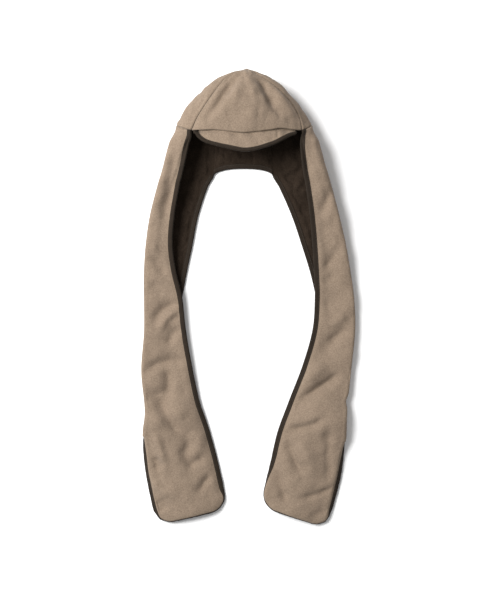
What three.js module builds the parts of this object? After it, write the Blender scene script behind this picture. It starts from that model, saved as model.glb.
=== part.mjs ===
// A lined fleece hood that runs out into two long scarf ends, lying on its back as it is stored.
// Five gores make the crown, a short soft peak hangs from its front hem, a nape piece closes the
// back, and one long strip each side is folded in half beside the face and opens out flat towards
// its rounded end. Every strip is an outer fleece and a lining, with their edges held in a bound
// tape. Millimetres: X to the right, Y towards the tip of the crown, Z up from the floor.
import * as THREE from "three";

// Cloth
const FLEECE = 1.8;
const LINING = 1.4;
const PLY_GAP = 0.3;
const STACK = FLEECE + PLY_GAP + LINING;
const SEAM_INSET = 0.2; // each piece stops this far short of the seam line

// Bound edge: a tape folded round both plies
const TAPE = 0.8;
const TAPE_GAP = 0.4;
const TAPE_WIDTH = 9;
const TAPE_PROUD = TAPE_GAP + TAPE;

// The crown, ring by ring from its rim to its tip. Each ring is a flattened hoop: half its width,
// the heights of its top, widest point and bottom, and the angles of the two front seams.
const CROWN_RINGS = [
  { y: 333, centre: -7.5, half: 134, top: 81, mid: 36, bottom: 0, rightSeam: 31, leftSeam: 141 },
  { y: 356, centre: -7.8, half: 122.5, top: 85, mid: 37, bottom: 0, rightSeam: 26, leftSeam: 139 },
  { y: 378, centre: -8.0, half: 106, top: 87, mid: 39, bottom: 0, rightSeam: 23, leftSeam: 137 },
  { y: 398, centre: -7.3, half: 87.5, top: 84, mid: 42, bottom: 3, rightSeam: 24, leftSeam: 137 },
  { y: 415, centre: -6.2, half: 70.5, top: 79, mid: 44, bottom: 11, rightSeam: 32, leftSeam: 138 },
  { y: 429, centre: -7.5, half: 53, top: 73, mid: 46, bottom: 21, rightSeam: 40, leftSeam: 137 },
  { y: 437, centre: -7.8, half: 39, top: 67, mid: 48, bottom: 29, rightSeam: 46, leftSeam: 133 },
  { y: 442, centre: -6.5, half: 26, top: 61, mid: 49, bottom: 37, rightSeam: 44, leftSeam: 126 },
  { y: 444.8, centre: -3.5, half: 9, top: 54.5, mid: 50, bottom: 45, rightSeam: 44, leftSeam: 126 },
].map((ring, level) => ({ level, ...ring }));
const CROWN_TIP = new THREE.Vector3(-2, 446, 50);
const HOOP_POWER = 2 / 2.5; // the lower half of a hoop is squarer, as it rests on the floor,
const HOOP_SINK = 2; // and it is pressed flat by this much
const BACK_ANGLE = 270;
const NAPE_ANGLES = { left: 250, right: 290 };

// The rim's line round the hoop, from the middle of the back by way of the right side. The front
// hem, between its two seams, dips over the forehead and waves a little.
const RIM_LINE = [
  { angle: -90, y: 346 },
  { angle: -55, y: 346 },
  { angle: -20, y: 343.5 },
  { angle: 0, y: 339 },
  { angle: 18, y: 332 },
  { angle: 31, y: 326.5 },
  { angle: 45, y: 326 },
  { angle: 58, y: 327.5 },
  { angle: 72, y: 322.5 },
  { angle: 87, y: 318.3 },
  { angle: 100, y: 319.7 },
  { angle: 115, y: 324 },
  { angle: 128, y: 324.3 },
  { angle: 141, y: 325.5 },
  { angle: 158, y: 332.5 },
  { angle: 180, y: 339 },
  { angle: 200, y: 343.5 },
  { angle: 235, y: 346 },
  { angle: 270, y: 346 },
];
const STRIP_TOP_Y = 325.5;

// The scarf strips, station by station down from the rim. Distances out from the middle line:
// front is the front edge and side the outer silhouette. frontZ is the front edge's height, bend
// the radius of the outer fold, turn how far the cloth turns there in degrees, lip what is left
// beyond the fold, and tilt how much a row slopes down towards the outside.
const SCARF_STATIONS = {
  left: [
    { at: 0, front: 110.5, frontZ: 65, side: 144.5, bend: 33, turn: 180, lip: 44, tilt: 0 },
    { at: 48, front: 120.7, frontZ: 56, side: 162, bend: 28, turn: 180, lip: 67, tilt: 0 },
    { at: 82, front: 128.8, frontZ: 50, side: 172, bend: 24.5, turn: 180, lip: 79, tilt: 0 },
    { at: 105, front: 134.8, frontZ: 45, side: 179.4, bend: 22, turn: 180, lip: 76.5, tilt: 0 },
    { at: 164, front: 145.5, frontZ: 36, side: 194.6, bend: 18, turn: 180, lip: 76.3, tilt: 0 },
    { at: 223, front: 149.7, frontZ: 29, side: 203.4, bend: 15, turn: 180, lip: 76.5, tilt: 0 },
    { at: 276, front: 143.1, frontZ: 22, side: 207, bend: 12, turn: 180, lip: 72, tilt: 0 },
    { at: 327, front: 131.3, frontZ: 18, side: 207.2, bend: 10, turn: 180, lip: 65, tilt: 0 },
    { at: 391, front: 124.2, frontZ: 16, side: 207.3, bend: 9, turn: 180, lip: 55, tilt: 0.05 },
    { at: 461, front: 112.2, frontZ: 13, side: 212.6, bend: 9, turn: 180, lip: 37, tilt: 0.12 },
    { at: 531, front: 97.2, frontZ: 8, side: 205.3, bend: 9, turn: 170, lip: 27, tilt: 0.2 },
    { at: 591, front: 77.3, frontZ: 6, side: 210.7, bend: 9, turn: 110, lip: 10.5, tilt: 0.238 },
    { at: 641, front: 63.4, frontZ: 5, side: 205.6, bend: 10, turn: 78, lip: 9, tilt: 0.238 },
    { at: 701, front: 49.3, frontZ: 5, side: 194, bend: 10, turn: 58, lip: 9, tilt: 0.238 },
    { at: 750, front: 36.5, frontZ: 5, side: 181.5, bend: 14, turn: 24, lip: 8, tilt: 0.238 },
  ],
  right: [
    { at: 0, front: 100.5, frontZ: 59, side: 130.5, bend: 31, turn: 180, lip: 51.5, tilt: 0 },
    { at: 48, front: 104.3, frontZ: 53, side: 147.1, bend: 27, turn: 180, lip: 71, tilt: 0 },
    { at: 82, front: 109.5, frontZ: 48, side: 158.5, bend: 24, turn: 180, lip: 85, tilt: 0 },
    { at: 106, front: 114.1, frontZ: 44, side: 165.6, bend: 22, turn: 180, lip: 80.6, tilt: 0 },
    { at: 164, front: 122.7, frontZ: 36, side: 181.2, bend: 18, turn: 180, lip: 74.7, tilt: 0 },
    { at: 223, front: 128.2, frontZ: 29, side: 194.9, bend: 15, turn: 180, lip: 71.4, tilt: 0 },
    { at: 276, front: 131.7, frontZ: 22, side: 204.1, bend: 12, turn: 180, lip: 67.2, tilt: 0 },
    { at: 327, front: 133.5, frontZ: 18, side: 211.2, bend: 10, turn: 180, lip: 64.4, tilt: 0 },
    { at: 391, front: 129, frontZ: 16, side: 213.3, bend: 9, turn: 180, lip: 55, tilt: 0.03 },
    { at: 461, front: 109.4, frontZ: 13, side: 205.3, bend: 9, turn: 180, lip: 41, tilt: 0.12 },
    { at: 531, front: 82.3, frontZ: 8, side: 197.3, bend: 9, turn: 165, lip: 22, tilt: 0.22 },
    { at: 591, front: 60.2, frontZ: 6, side: 193.3, bend: 9, turn: 108, lip: 10.5, tilt: 0.3 },
    { at: 641, front: 47.9, frontZ: 5, side: 186.3, bend: 10, turn: 78, lip: 9, tilt: 0.32 },
    { at: 701, front: 32.3, frontZ: 5, side: 170.5, bend: 10, turn: 60, lip: 9, tilt: 0.333 },
    { at: 746, front: 20, frontZ: 5, side: 159.4, bend: 14, turn: 26, lip: 8, tilt: 0.333 },
  ],
};
const HOOD_EASE = 75; // how far down from the rim a strip keeps something of the rim's slant
const HOOP_EASE = 30; // and of its hooped section
const LAYER_SAG = 3; // the upper layer hangs in this much between its edges where it is folded
const OPEN_PUFF = 3; // and stands up this much where it lies open
const OPEN_FROM = 500;
const OPEN_TO = 620;
const FLOOR_SLACK = 0.5; // bound edges stay this far above where their tape would touch down
const SETTLE_WIDTH = 14; // in from its tape, a layer that lies face down meets the floor
const FLOOR_CLEAR = FLOOR_SLACK + STACK + TAPE_PROUD; // height of a bound edge, face up
const CORNER_RADIUS = 36;
const CURL_START = 13; // the rounded end rolls under over this width
const CURL_RADIUS = 9.5;
const CURL_DROP = CURL_RADIUS * (1 - Math.cos(CURL_START / CURL_RADIUS));
const CURL_RISE = 80; // the cloth climbs to the roll over this length
const CURL_RISE_WIDTH = 34; // and over this width in from its front edge

// Creases, each a line in plan. width is how far it spreads, and depth how far it presses in.
// They fade out towards the bound edges and where the cloth has turned past the outer fold.
const CREASE_EDGE = 20;
const CREASE_PAST_FOLD = 0.35;
const SCARF_FOLDS = [
  { x1: -204, y1: -156, x2: -176, y2: -128, width: 9, depth: 3 },
  { x1: -142, y1: -18, x2: -196, y2: -62, width: 11, depth: -2.5 },
  { x1: -152, y1: -66, x2: -184, y2: -92, width: 10, depth: 2 },
  { x1: -168, y1: -148, x2: -178, y2: -218, width: 13, depth: 3.5 },
  { x1: -178, y1: -218, x2: -128, y2: -336, width: 14, depth: 4 },
  { x1: -119, y1: -274, x2: -135, y2: -316, width: 8, depth: 2.5 },
  { x1: -178, y1: -286, x2: -168, y2: -336, width: 9, depth: -3 },
  { x1: -86, y1: -362, x2: -116, y2: -396, width: 10, depth: 3 },
  { x1: 160, y1: 216, x2: 142, y2: 176, width: 9, depth: 3 },
  { x1: 180, y1: 110, x2: 157, y2: 60, width: 9, depth: 3.5 },
  { x1: 198, y1: -60, x2: 162, y2: -94, width: 9, depth: 3.5 },
  { x1: 188, y1: -146, x2: 100, y2: -206, width: 10, depth: 4.5 },
  { x1: 152, y1: -236, x2: 74, y2: -266, width: 9, depth: 3.5 },
  { x1: 160, y1: -254, x2: 142, y2: -332, width: 11, depth: 4 },
  { x1: 80, y1: -280, x2: 72, y2: -336, width: 12, depth: 2.5 },
  { x1: 50, y1: -350, x2: 66, y2: -386, width: 9, depth: 2 },
  { x1: 174, y1: -380, x2: 128, y2: -394, width: 7, depth: 2.5 },
];
const CROWN_FOLDS = [
  { x1: 6, y1: 434, x2: 20, y2: 408, width: 8, depth: 5 },
  { x1: 20, y1: 408, x2: 38, y2: 371, width: 11, depth: 4.5 },
  { x1: -33, y1: 425, x2: -66, y2: 382, width: 10, depth: 4 },
  { x1: -66, y1: 382, x2: -80, y2: 365, width: 10, depth: 2.5 },
  { x1: 8, y1: 372, x2: 14, y2: 344, width: 9, depth: 1.5 },
];

// The nape's lower edge is an arch between the two back seams
const NAPE_SEAM_END = 82; // how far below the rim the back seams end
const CHEEK_END = 235; // a strip's outer cloth is in two solids that meet here; the real one runs on
const ARCH_RISE = 13;
const ARCH_POWER = 4;
const NAPE_SHARES = [0, 0.1, 0.3, 0.5, 0.7, 0.9, 1];

// The peak's free edge, from its left corner to its right one
const PEAK_EDGE = [
  { x: -104, y: 322, z: 66 },
  { x: -96, y: 310, z: 68.5 },
  { x: -80, y: 298.8, z: 73 },
  { x: -50, y: 288.8, z: 79 },
  { x: -10, y: 282.2, z: 82 },
  { x: 25, y: 285.6, z: 81 },
  { x: 55, y: 297.5, z: 77 },
  { x: 78, y: 312, z: 71.5 },
  { x: 92, y: 321, z: 67 },
].map((point, place) => ({ place, ...point }));
const PEAK_TUCK = 6; // the peak's root goes this far up behind the hem
const PEAK_UNDER = FLEECE + 0.7; // and this far below the hem's face
const PEAK_CORNER_UNDER = 1; // a little further towards its corners
const PEAK_CORNER_POWER = 8;
const PEAK_CLEAR = 3; // it comes out this far past the hem before it rises
const PEAK_FIRST_SHARE = 0.6; // where its first row lies, at the corners
const PEAK_DOME = 2.5;
const PEAK_TAPE_WIDTH = 7;
const PEAK_MARGIN = 0.08; // share of the front hem left free at each corner

// Mesh steps
const FRONT_STEPS = 8;
const STRIP_STEPS = 11;
const STRIP_ROWS = 27;
const LOOSE_BEND = 30; // folds tighter than this get closer columns
const TIP_ROWS = [CORNER_RADIUS, 22, TAPE_WIDTH, 0]; // distances from the rounded end
const PEAK_STEPS = 16;
const GORE_SEAM_COLUMN = 7; // strip column that the seam between side and back gore runs into
const RIM_SAMPLES = 240;
const TAPE_SETBACK = 0.4;
const CORNER_SETBACK = 1.6; // where two tapes meet at an angle

const BBOX_CENTRE = { x: 0.5, y: -5.1 };

const FLEECE_FINISH = { color: 0xa3917f, roughness: 0.95, metalness: 0 };
const LINING_FINISH = { color: 0x2f2823, roughness: 0.95, metalness: 0 };
const TAPE_FINISH = { color: 0x3d352d, roughness: 0.85, metalness: 0 };

const radians = THREE.MathUtils.degToRad;
const clamp = THREE.MathUtils.clamp;
const mix = THREE.MathUtils.lerp;
const easeInOut = (t) => THREE.MathUtils.smoothstep(t, 0, 1);

// Reads one column of a table at a place between its rows, on a curve through them.
function readTable(rows, axis, place, key) {
  let i = 0;
  while (i < rows.length - 2 && place > rows[i + 1][axis]) i++;
  const [low, high] = [rows[i], rows[i + 1]];
  const slopeAt = (k) => {
    const before = rows[Math.max(k - 1, 0)];
    const after = rows[Math.min(k + 1, rows.length - 1)];
    return (after[key] - before[key]) / (after[axis] - before[axis]);
  };
  const span = high[axis] - low[axis];
  const t = clamp((place - low[axis]) / span, 0, 1);
  const [a, b] = [slopeAt(i) * span, slopeAt(i + 1) * span];
  const bend = (2 * t ** 3 - 3 * t ** 2) * (low[key] - high[key]) + low[key];
  return bend + (t ** 3 - 2 * t ** 2 + t) * a + (t ** 3 - t ** 2) * b;
}

// How far the creases press a point of the plan down.
function foldDepth(folds, x, y) {
  let total = 0;
  for (const fold of folds) {
    const [dx, dy] = [fold.x2 - fold.x1, fold.y2 - fold.y1];
    const along = clamp(((x - fold.x1) * dx + (y - fold.y1) * dy) / (dx * dx + dy * dy), 0, 1);
    const away = Math.hypot(x - fold.x1 - along * dx, y - fold.y1 - along * dy);
    total += fold.depth * Math.exp(-((away / fold.width) ** 2));
  }
  return total;
}

// A point of a hoop of the crown, in the plane across Y.
function hoopPoint(ring, degrees) {
  const [c, s] = [Math.cos(radians(degrees)), Math.sin(radians(degrees))];
  if (s >= 0) return { x: ring.centre + ring.half * c, z: ring.mid + (ring.top - ring.mid) * s };
  const across = Math.sign(c) * Math.abs(c) ** HOOP_POWER;
  const down = (ring.mid - ring.bottom + HOOP_SINK) * Math.abs(s) ** HOOP_POWER;
  return { x: ring.centre + ring.half * across, z: Math.max(ring.mid - down, ring.bottom) };
}

function ringAt(level) {
  const ring = {};
  for (const key of Object.keys(CROWN_RINGS[0])) {
    ring[key] = readTable(CROWN_RINGS, "level", level, key);
  }
  return ring;
}

const RIM_RING = CROWN_RINGS[0];
const TOP_LEVEL = CROWN_RINGS.length - 1;

function rimY(degrees) {
  return readTable(RIM_LINE, "angle", degrees > BACK_ANGLE ? degrees - 360 : degrees, "y");
}

// Carries an angle of the rim to a higher ring, so that the front seams keep their course.
function angleOnRing(ring, degrees) {
  const { rightSeam, leftSeam } = RIM_RING;
  if (degrees <= leftSeam && degrees >= rightSeam) {
    const share = (degrees - rightSeam) / (leftSeam - rightSeam);
    return mix(ring.rightSeam, ring.leftSeam, share);
  }
  if (degrees > leftSeam && degrees <= BACK_ANGLE) {
    return mix(ring.leftSeam, BACK_ANGLE, (degrees - leftSeam) / (BACK_ANGLE - leftSeam));
  }
  const beyond = degrees > BACK_ANGLE ? degrees - 360 : degrees;
  const back = BACK_ANGLE - 360;
  return mix(back, ring.rightSeam, (beyond - back) / (rightSeam - back));
}

function crownPoint(level, degrees) {
  const ring = ringAt(level);
  const { x, z } = hoopPoint(ring, angleOnRing(ring, degrees));
  const lift = (1 - level / TOP_LEVEL) ** 2;
  const y = ring.y + (rimY(degrees) - RIM_RING.y) * lift;
  const facingUp = clamp((z - ring.mid) / (ring.top - ring.mid + 1), 0, 1);
  return new THREE.Vector3(x, y, z - foldDepth(CROWN_FOLDS, x, y) * Math.sqrt(facingUp));
}

// The part of the rim that a strip hangs from, measured out from its front corner.
function rimRun(side) {
  const from = side === "left" ? RIM_RING.leftSeam : RIM_RING.rightSeam;
  const to = side === "left" ? NAPE_ANGLES.left : NAPE_ANGLES.right - 360;
  const run = [{ degrees: from, length: 0 }];
  let last = hoopPoint(RIM_RING, from);
  for (let i = 1; i <= RIM_SAMPLES; i++) {
    const degrees = mix(from, to, i / RIM_SAMPLES);
    const point = hoopPoint(RIM_RING, degrees);
    const length = run[i - 1].length + Math.hypot(point.x - last.x, point.z - last.z);
    run.push({ degrees, length });
    last = point;
  }
  return run;
}
const RIM_RUNS = { left: rimRun("left"), right: rimRun("right") };

function rimAngle(side, share) {
  const run = RIM_RUNS[side];
  const target = share * run[run.length - 1].length;
  let i = 0;
  while (i < run.length - 2 && run[i + 1].length < target) i++;
  const t = (target - run[i].length) / (run[i + 1].length - run[i].length);
  return mix(run[i].degrees, run[i + 1].degrees, clamp(t, 0, 1));
}

// One cross-section of a strip: its numbers, and the lengths of its three stretches.
function stationAt(side, at) {
  const rows = SCARF_STATIONS[side];
  const station = {};
  for (const key of Object.keys(rows[0])) station[key] = readTable(rows, "at", at, key);
  station.turn = radians(clamp(station.turn, 0, 180));
  const { bend, turn, lip, side: outer, front, tilt } = station;
  const outward = Math.sin(Math.min(turn, Math.PI / 2));
  const overhang = turn < Math.PI / 2 ? lip * Math.cos(turn) + TAPE_PROUD : 0;
  station.foldX = outer - bend * outward - overhang;
  station.topRun = Math.max((station.foldX - front) * Math.hypot(1, tilt), 1);
  station.foldRun = bend * turn;
  station.width = station.topRun + station.foldRun + lip;
  const belowEdge = Math.max(-TAPE_PROUD * Math.cos(turn), (STACK + TAPE_PROUD) * Math.cos(turn));
  const edgeClear = FLOOR_SLACK + TAPE_PROUD * Math.sin(turn) + belowEdge;
  station.topZ = edgeClear + bend * (1 - Math.cos(turn)) + lip * Math.sin(turn);
  return station;
}

// A point of the cross-section, by the distance along the cloth from the front edge.
function sectionPoint(station, along) {
  const { front, frontZ, foldX, topRun, foldRun, topZ, bend, turn, at } = station;
  if (along <= topRun) {
    const share = along / topRun;
    const open = easeInOut((at - OPEN_FROM) / (OPEN_TO - OPEN_FROM));
    const soft = mix(LAYER_SAG, -OPEN_PUFF, open) * Math.sin(Math.PI * share) ** 2;
    return { x: mix(front, foldX, share), z: topZ - (topZ - frontZ) * (1 - share) ** 2 - soft };
  }
  const angle = Math.min((along - topRun) / bend, turn);
  const past = Math.max(along - topRun - foldRun, 0);
  const z = topZ - bend * (1 - Math.cos(angle)) - past * Math.sin(turn);
  const inside = easeInOut(past / SETTLE_WIDTH);
  const clearOfTape = easeInOut((station.lip - past - TAPE_WIDTH) / SETTLE_WIDTH);
  const settle = (TAPE_PROUD + FLOOR_SLACK) * inside * clearOfTape;
  return {
    x: foldX + bend * Math.sin(angle) + past * Math.cos(turn),
    z: Math.max(z - settle, 0),
  };
}

// Rounds the strip's two end corners: a square of the cutting pattern becomes a quarter disc.
function roundCorner(along, fromEnd, width) {
  const across = Math.min(along, width - along);
  if (across >= CORNER_RADIUS || fromEnd >= CORNER_RADIUS) return { along, fromEnd };
  const [dx, dy] = [CORNER_RADIUS - across, CORNER_RADIUS - fromEnd];
  const reach = Math.max(dx, dy);
  const angle = dx > dy ? (Math.PI / 4) * (dy / dx) : Math.PI / 2 - (Math.PI / 4) * (dx / dy);
  const inset = CORNER_RADIUS - reach * Math.cos(angle);
  return {
    along: along < width / 2 ? inset : width - inset,
    fromEnd: CORNER_RADIUS - reach * Math.sin(angle),
  };
}

const stripLength = (side) => SCARF_STATIONS[side][SCARF_STATIONS[side].length - 1].at;

function stripPoint(side, at, share) {
  const out = side === "left" ? -1 : 1;
  const length = stripLength(side);
  const flat = roundCorner(share * stationAt(side, at).width, length - at, stationAt(side, at).width);
  const rolled = Math.max(CURL_START - flat.fromEnd, 0) / CURL_RADIUS;
  const place = rolled > 0 ? length - CURL_START + CURL_RADIUS * Math.sin(rolled) : length - flat.fromEnd;
  const station = stationAt(side, place);
  const along = (flat.along / stationAt(side, at).width) * station.width;
  const { x, z } = sectionPoint(station, along);
  const drop = CURL_RADIUS * (1 - Math.cos(rolled));
  const y = STRIP_TOP_Y - place - station.tilt * (x - station.front);
  const facingUp = 1 - clamp((along - station.topRun) / (station.foldRun * CREASE_PAST_FOLD), 0, 1);
  const nearEdge = easeInOut(Math.min(along, station.width - along) / CREASE_EDGE);
  const rise = easeInOut(1 - (length - place) / CURL_RISE) * easeInOut(along / CURL_RISE_WIDTH);
  const creased = z - foldDepth(SCARF_FOLDS, out * x, y) * facingUp * nearEdge + rise * CURL_DROP;
  const lowest = facingUp > 0 || station.turn < Math.PI / 2 ? FLOOR_CLEAR : 0;
  const laid = new THREE.Vector3(out * x, y, Math.max(creased - drop, Math.min(z, lowest)));
  if (at >= HOOD_EASE) return laid;
  const degrees = rimAngle(side, share);
  const rim = hoopPoint(RIM_RING, degrees);
  const hoop = easeInOut(at / HOOP_EASE);
  return new THREE.Vector3(
    mix(rim.x, laid.x, hoop),
    mix(rimY(degrees) - at, laid.y, easeInOut(at / HOOD_EASE)),
    mix(rim.z, laid.z, hoop),
  );
}

// Shares of a strip's width for its mesh columns: closer together round the fold.
function stripShares(side, at) {
  const { width, topRun, foldRun, bend } = stationAt(side, at);
  const [low, high] = [TAPE_WIDTH, width - TAPE_WIDTH];
  const foldFrom = clamp(topRun, low, high);
  const foldTo = clamp(topRun + foldRun, foldFrom, high);
  const weight = Math.max(1, LOOSE_BEND / bend);
  const stretches = [
    { from: low, to: foldFrom, weight: 1 },
    { from: foldFrom, to: foldTo, weight },
    { from: foldTo, to: high, weight: 1 },
  ];
  const total = stretches.reduce((sum, s) => sum + (s.to - s.from) * s.weight, 0);
  const shares = [0];
  for (let k = 0; k <= STRIP_STEPS - 2; k++) {
    let left = (total * k) / (STRIP_STEPS - 2);
    let place = low;
    for (const s of stretches) {
      const used = Math.min(left, (s.to - s.from) * s.weight);
      place += used / s.weight;
      left -= used;
    }
    shares.push(place / width);
  }
  shares.push(1);
  return shares;
}

function stripRows(side) {
  const length = stripLength(side);
  const plain = STRIP_ROWS - TIP_ROWS.length;
  const lastPlain = length - 2 * TIP_ROWS[0] + TIP_ROWS[1];
  const rows = [];
  for (let i = 0; i <= plain; i++) rows.push((lastPlain * i) / plain);
  // One row runs exactly through the lower end of the back seam.
  const nearest = rows.reduce((best, at, i) =>
    Math.abs(at - NAPE_SEAM_END) < Math.abs(rows[best] - NAPE_SEAM_END) ? i : best, 0);
  rows[nearest] = NAPE_SEAM_END;
  for (const fromEnd of TIP_ROWS) rows.push(length - fromEnd);
  return { rows, seamRow: nearest };
}

// Cloth is gathered in one sheet of shared points, so that neighbouring pieces meet exactly.
class Sheet {
  constructor() {
    this.points = [];
    this.normals = [];
    this.pieces = {};
  }

  add(point) {
    this.points.push(point);
    this.normals.push(new THREE.Vector3());
    return this.points.length - 1;
  }

  // Splits a four-sided patch along its shorter diagonal.
  patch(piece, a, b, c, d) {
    const list = (this.pieces[piece] ??= []);
    const [pa, pb, pc, pd] = [a, b, c, d].map((i) => this.points[i]);
    if (pa.distanceTo(pc) <= pb.distanceTo(pd)) list.push([a, b, c], [a, c, d]);
    else list.push([a, b, d], [b, c, d]);
  }

  triangle(piece, a, b, c) {
    (this.pieces[piece] ??= []).push([a, b, c]);
  }

  finish() {
    for (const list of Object.values(this.pieces)) {
      for (const [a, b, c] of list) {
        const normal = faceNormal(this.points[a], this.points[b], this.points[c], false);
        for (const i of [a, b, c]) this.normals[i].add(normal);
      }
    }
    for (const normal of this.normals) normal.normalize();
  }
}

function faceNormal(a, b, c, unit = true) {
  const normal = b.clone().sub(a).cross(c.clone().sub(a));
  return unit ? normal.normalize() : normal;
}

function solidFrom(triangles) {
  const kept = triangles.filter(([a, b, c]) => !a.equals(b) && !b.equals(c) && !c.equals(a));
  return new THREE.BufferGeometry().setFromPoints(kept.flat());
}

// A wall of cloth over some of the sheet's triangles, between two depths below its face.
function clothWall(sheet, triangles, near, far) {
  const edges = new Map();
  for (const [a, b, c] of triangles) {
    const normal = faceNormal(sheet.points[a], sheet.points[b], sheet.points[c]);
    for (const [p, q] of [[a, b], [b, c], [c, a]]) {
      if (!edges.delete(`${q} ${p}`)) edges.set(`${p} ${q}`, { p, q, normal });
    }
  }
  const insets = new Map();
  for (const { p, q, normal } of edges.values()) {
    const inward = sheet.points[q].clone().sub(sheet.points[p]).normalize();
    inward.crossVectors(normal, inward);
    for (const i of [p, q]) insets.set(i, (insets.get(i) ?? new THREE.Vector3()).add(inward));
  }
  const place = (i, depth) => {
    const inset = insets.get(i);
    const moved = sheet.points[i].clone().addScaledVector(sheet.normals[i], -depth);
    return inset ? moved.addScaledVector(inset.clone().normalize(), SEAM_INSET) : moved;
  };
  const made = [];
  for (const [a, b, c] of triangles) {
    made.push([place(a, near), place(b, near), place(c, near)]);
    made.push([place(c, far), place(b, far), place(a, far)]);
  }
  for (const { p, q } of edges.values()) {
    made.push([place(q, near), place(p, near), place(p, far)]);
    made.push([place(q, near), place(p, far), place(q, far)]);
  }
  return solidFrom(made);
}

// The tape round a bound edge: a channel whose two flanges hold both plies. pairs lists the
// points of the edge, each with the point of the sheet that the flanges reach in to.
function boundTape(sheet, pairs, endBack = TAPE_SETBACK) {
  const stops = pairs.map(([edge, inner]) => ({
    edge: sheet.points[edge].clone(),
    inner: sheet.points[inner].clone(),
    edgeNormal: sheet.normals[edge].clone(),
    innerNormal: sheet.normals[inner].clone(),
  }));
  const last = stops.length - 1;
  const setBack = (stop, next, distance) => {
    const share = distance / stop.edge.distanceTo(next.edge);
    for (const key of Object.keys(stop)) stop[key].lerp(next[key], share);
  };
  setBack(stops[0], stops[1], TAPE_SETBACK);
  setBack(stops[last], stops[last - 1], endBack);
  const sections = stops.map(({ edge, inner, edgeNormal, innerNormal }, k) => {
    const before = stops[Math.max(k - 1, 0)].edge;
    const after = stops[Math.min(k + 1, last)].edge;
    const run = after.clone().sub(before).normalize();
    const outward = edge.clone().sub(inner);
    outward.addScaledVector(run, -outward.dot(run)).normalize();
    const at = (base, normal, depth, out) =>
      base.clone().addScaledVector(normal, -depth).addScaledVector(outward, out);
    return [
      at(inner, innerNormal, -TAPE_PROUD, 0),
      at(edge, edgeNormal, -TAPE_PROUD, TAPE_PROUD),
      at(edge, edgeNormal, STACK + TAPE_PROUD, TAPE_PROUD),
      at(inner, innerNormal, STACK + TAPE_PROUD, 0),
      at(inner, innerNormal, STACK + TAPE_GAP, 0),
      at(edge, edgeNormal, STACK + TAPE_GAP, TAPE_GAP),
      at(edge, edgeNormal, -TAPE_GAP, TAPE_GAP),
      at(inner, innerNormal, -TAPE_GAP, 0),
    ];
  });
  // Whether section corner i stands over the edge rather than over the inner point.
  const overEdge = (i) => [1, 2, 5, 6].includes(i % 8);
  const made = [];
  for (let k = 0; k < last; k++) {
    const [low, high] = [stops[k], stops[k + 1]];
    const crossFromEdge = low.edge.distanceTo(high.inner) <= low.inner.distanceTo(high.edge);
    for (let i = 0; i < 8; i++) {
      const j = (i + 1) % 8;
      const [a, b, c, d] = [sections[k][i], sections[k][j], sections[k + 1][j], sections[k + 1][i]];
      const cutFromA = overEdge(i) === overEdge(j) || overEdge(i) === crossFromEdge;
      if (cutFromA) made.push([a, b, c], [a, c, d]);
      else made.push([a, b, d], [b, c, d]);
    }
  }
  for (const [i, j, k, l] of [[0, 1, 6, 7], [1, 2, 5, 6], [2, 3, 4, 5]]) {
    const [a, b, c, d] = [i, j, k, l].map((corner) => sections[0][corner]);
    made.push([a, c, b], [a, d, c]);
    const [e, f, g, h] = [i, j, k, l].map((corner) => sections[last][corner]);
    made.push([e, f, g], [e, g, h]);
  }
  const sweep = signedVolume(made);
  return solidFrom(sweep > 0 ? made : made.map(([a, b, c]) => [a, c, b]));
}

function signedVolume(triangles) {
  return triangles.reduce((sum, [a, b, c]) => sum + a.dot(b.clone().cross(c)), 0);
}

const shell = new Sheet();

// Strips: a grid of points each, row by row down from the rim.
function layStrip(side) {
  const { rows, seamRow } = stripRows(side);
  const grid = rows.map((at) =>
    stripShares(side, at).map((share) => shell.add(stripPoint(side, at, share))));
  for (let i = 0; i < rows.length - 1; i++) {
    const piece = rows[i] < CHEEK_END ? `${side}_cheek` : `${side}_scarf`;
    for (let j = 0; j < STRIP_STEPS; j++) {
      const corners = [grid[i][j], grid[i][j + 1], grid[i + 1][j + 1], grid[i + 1][j]];
      if (side === "left") shell.patch(piece, ...corners);
      else shell.patch(piece, ...corners.reverse());
    }
  }
  return { grid, seamRow };
}
const strips = { left: layStrip("left"), right: layStrip("right") };

// Nape: its two sides are the back edges of the strips, down to the end of the back seams.
function layNape() {
  const seam = (side) =>
    strips[side].grid.slice(0, strips[side].seamRow + 1).map((row) => row[STRIP_STEPS]);
  const [left, right] = [seam("left"), seam("right")];
  const lastRow = left.length - 1;
  const foot = [left, right].map((line) => shell.points[line[lastRow]]);
  const archLift = (share) => ARCH_RISE * (1 - Math.abs(2 * share - 1) ** ARCH_POWER);
  const footAt = (share) => {
    const point = foot[0].clone().lerp(foot[1], share);
    point.y += archLift(share);
    return point;
  };
  const rimAt = (share) => {
    const degrees = mix(NAPE_ANGLES.left, NAPE_ANGLES.right, share);
    const { x, z } = hoopPoint(RIM_RING, degrees);
    return new THREE.Vector3(x, rimY(degrees), z);
  };
  const grid = [];
  for (let i = 0; i <= lastRow; i++) {
    grid.push(NAPE_SHARES.map((share, k) => {
      if (k === 0) return left[i];
      if (k === NAPE_SHARES.length - 1) return right[i];
      return shell.add(rimAt(share).lerp(footAt(share), i / lastRow));
    }));
  }
  // The tape reaches in to a row of its own, just above the arch.
  const inner = NAPE_SHARES.map((share, k) => {
    const foot = shell.points[grid[lastRow][k]];
    const above = shell.points[grid[lastRow - 1][k]];
    return shell.add(foot.clone().lerp(above, TAPE_WIDTH / foot.distanceTo(above)));
  });
  grid.splice(lastRow, 0, inner);
  for (let i = 0; i < grid.length - 1; i++) {
    for (let j = 0; j < NAPE_SHARES.length - 1; j++) {
      shell.patch("nape", grid[i][j], grid[i][j + 1], grid[i + 1][j + 1], grid[i + 1][j]);
    }
  }
  return grid;
}
const nape = layNape();

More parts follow.
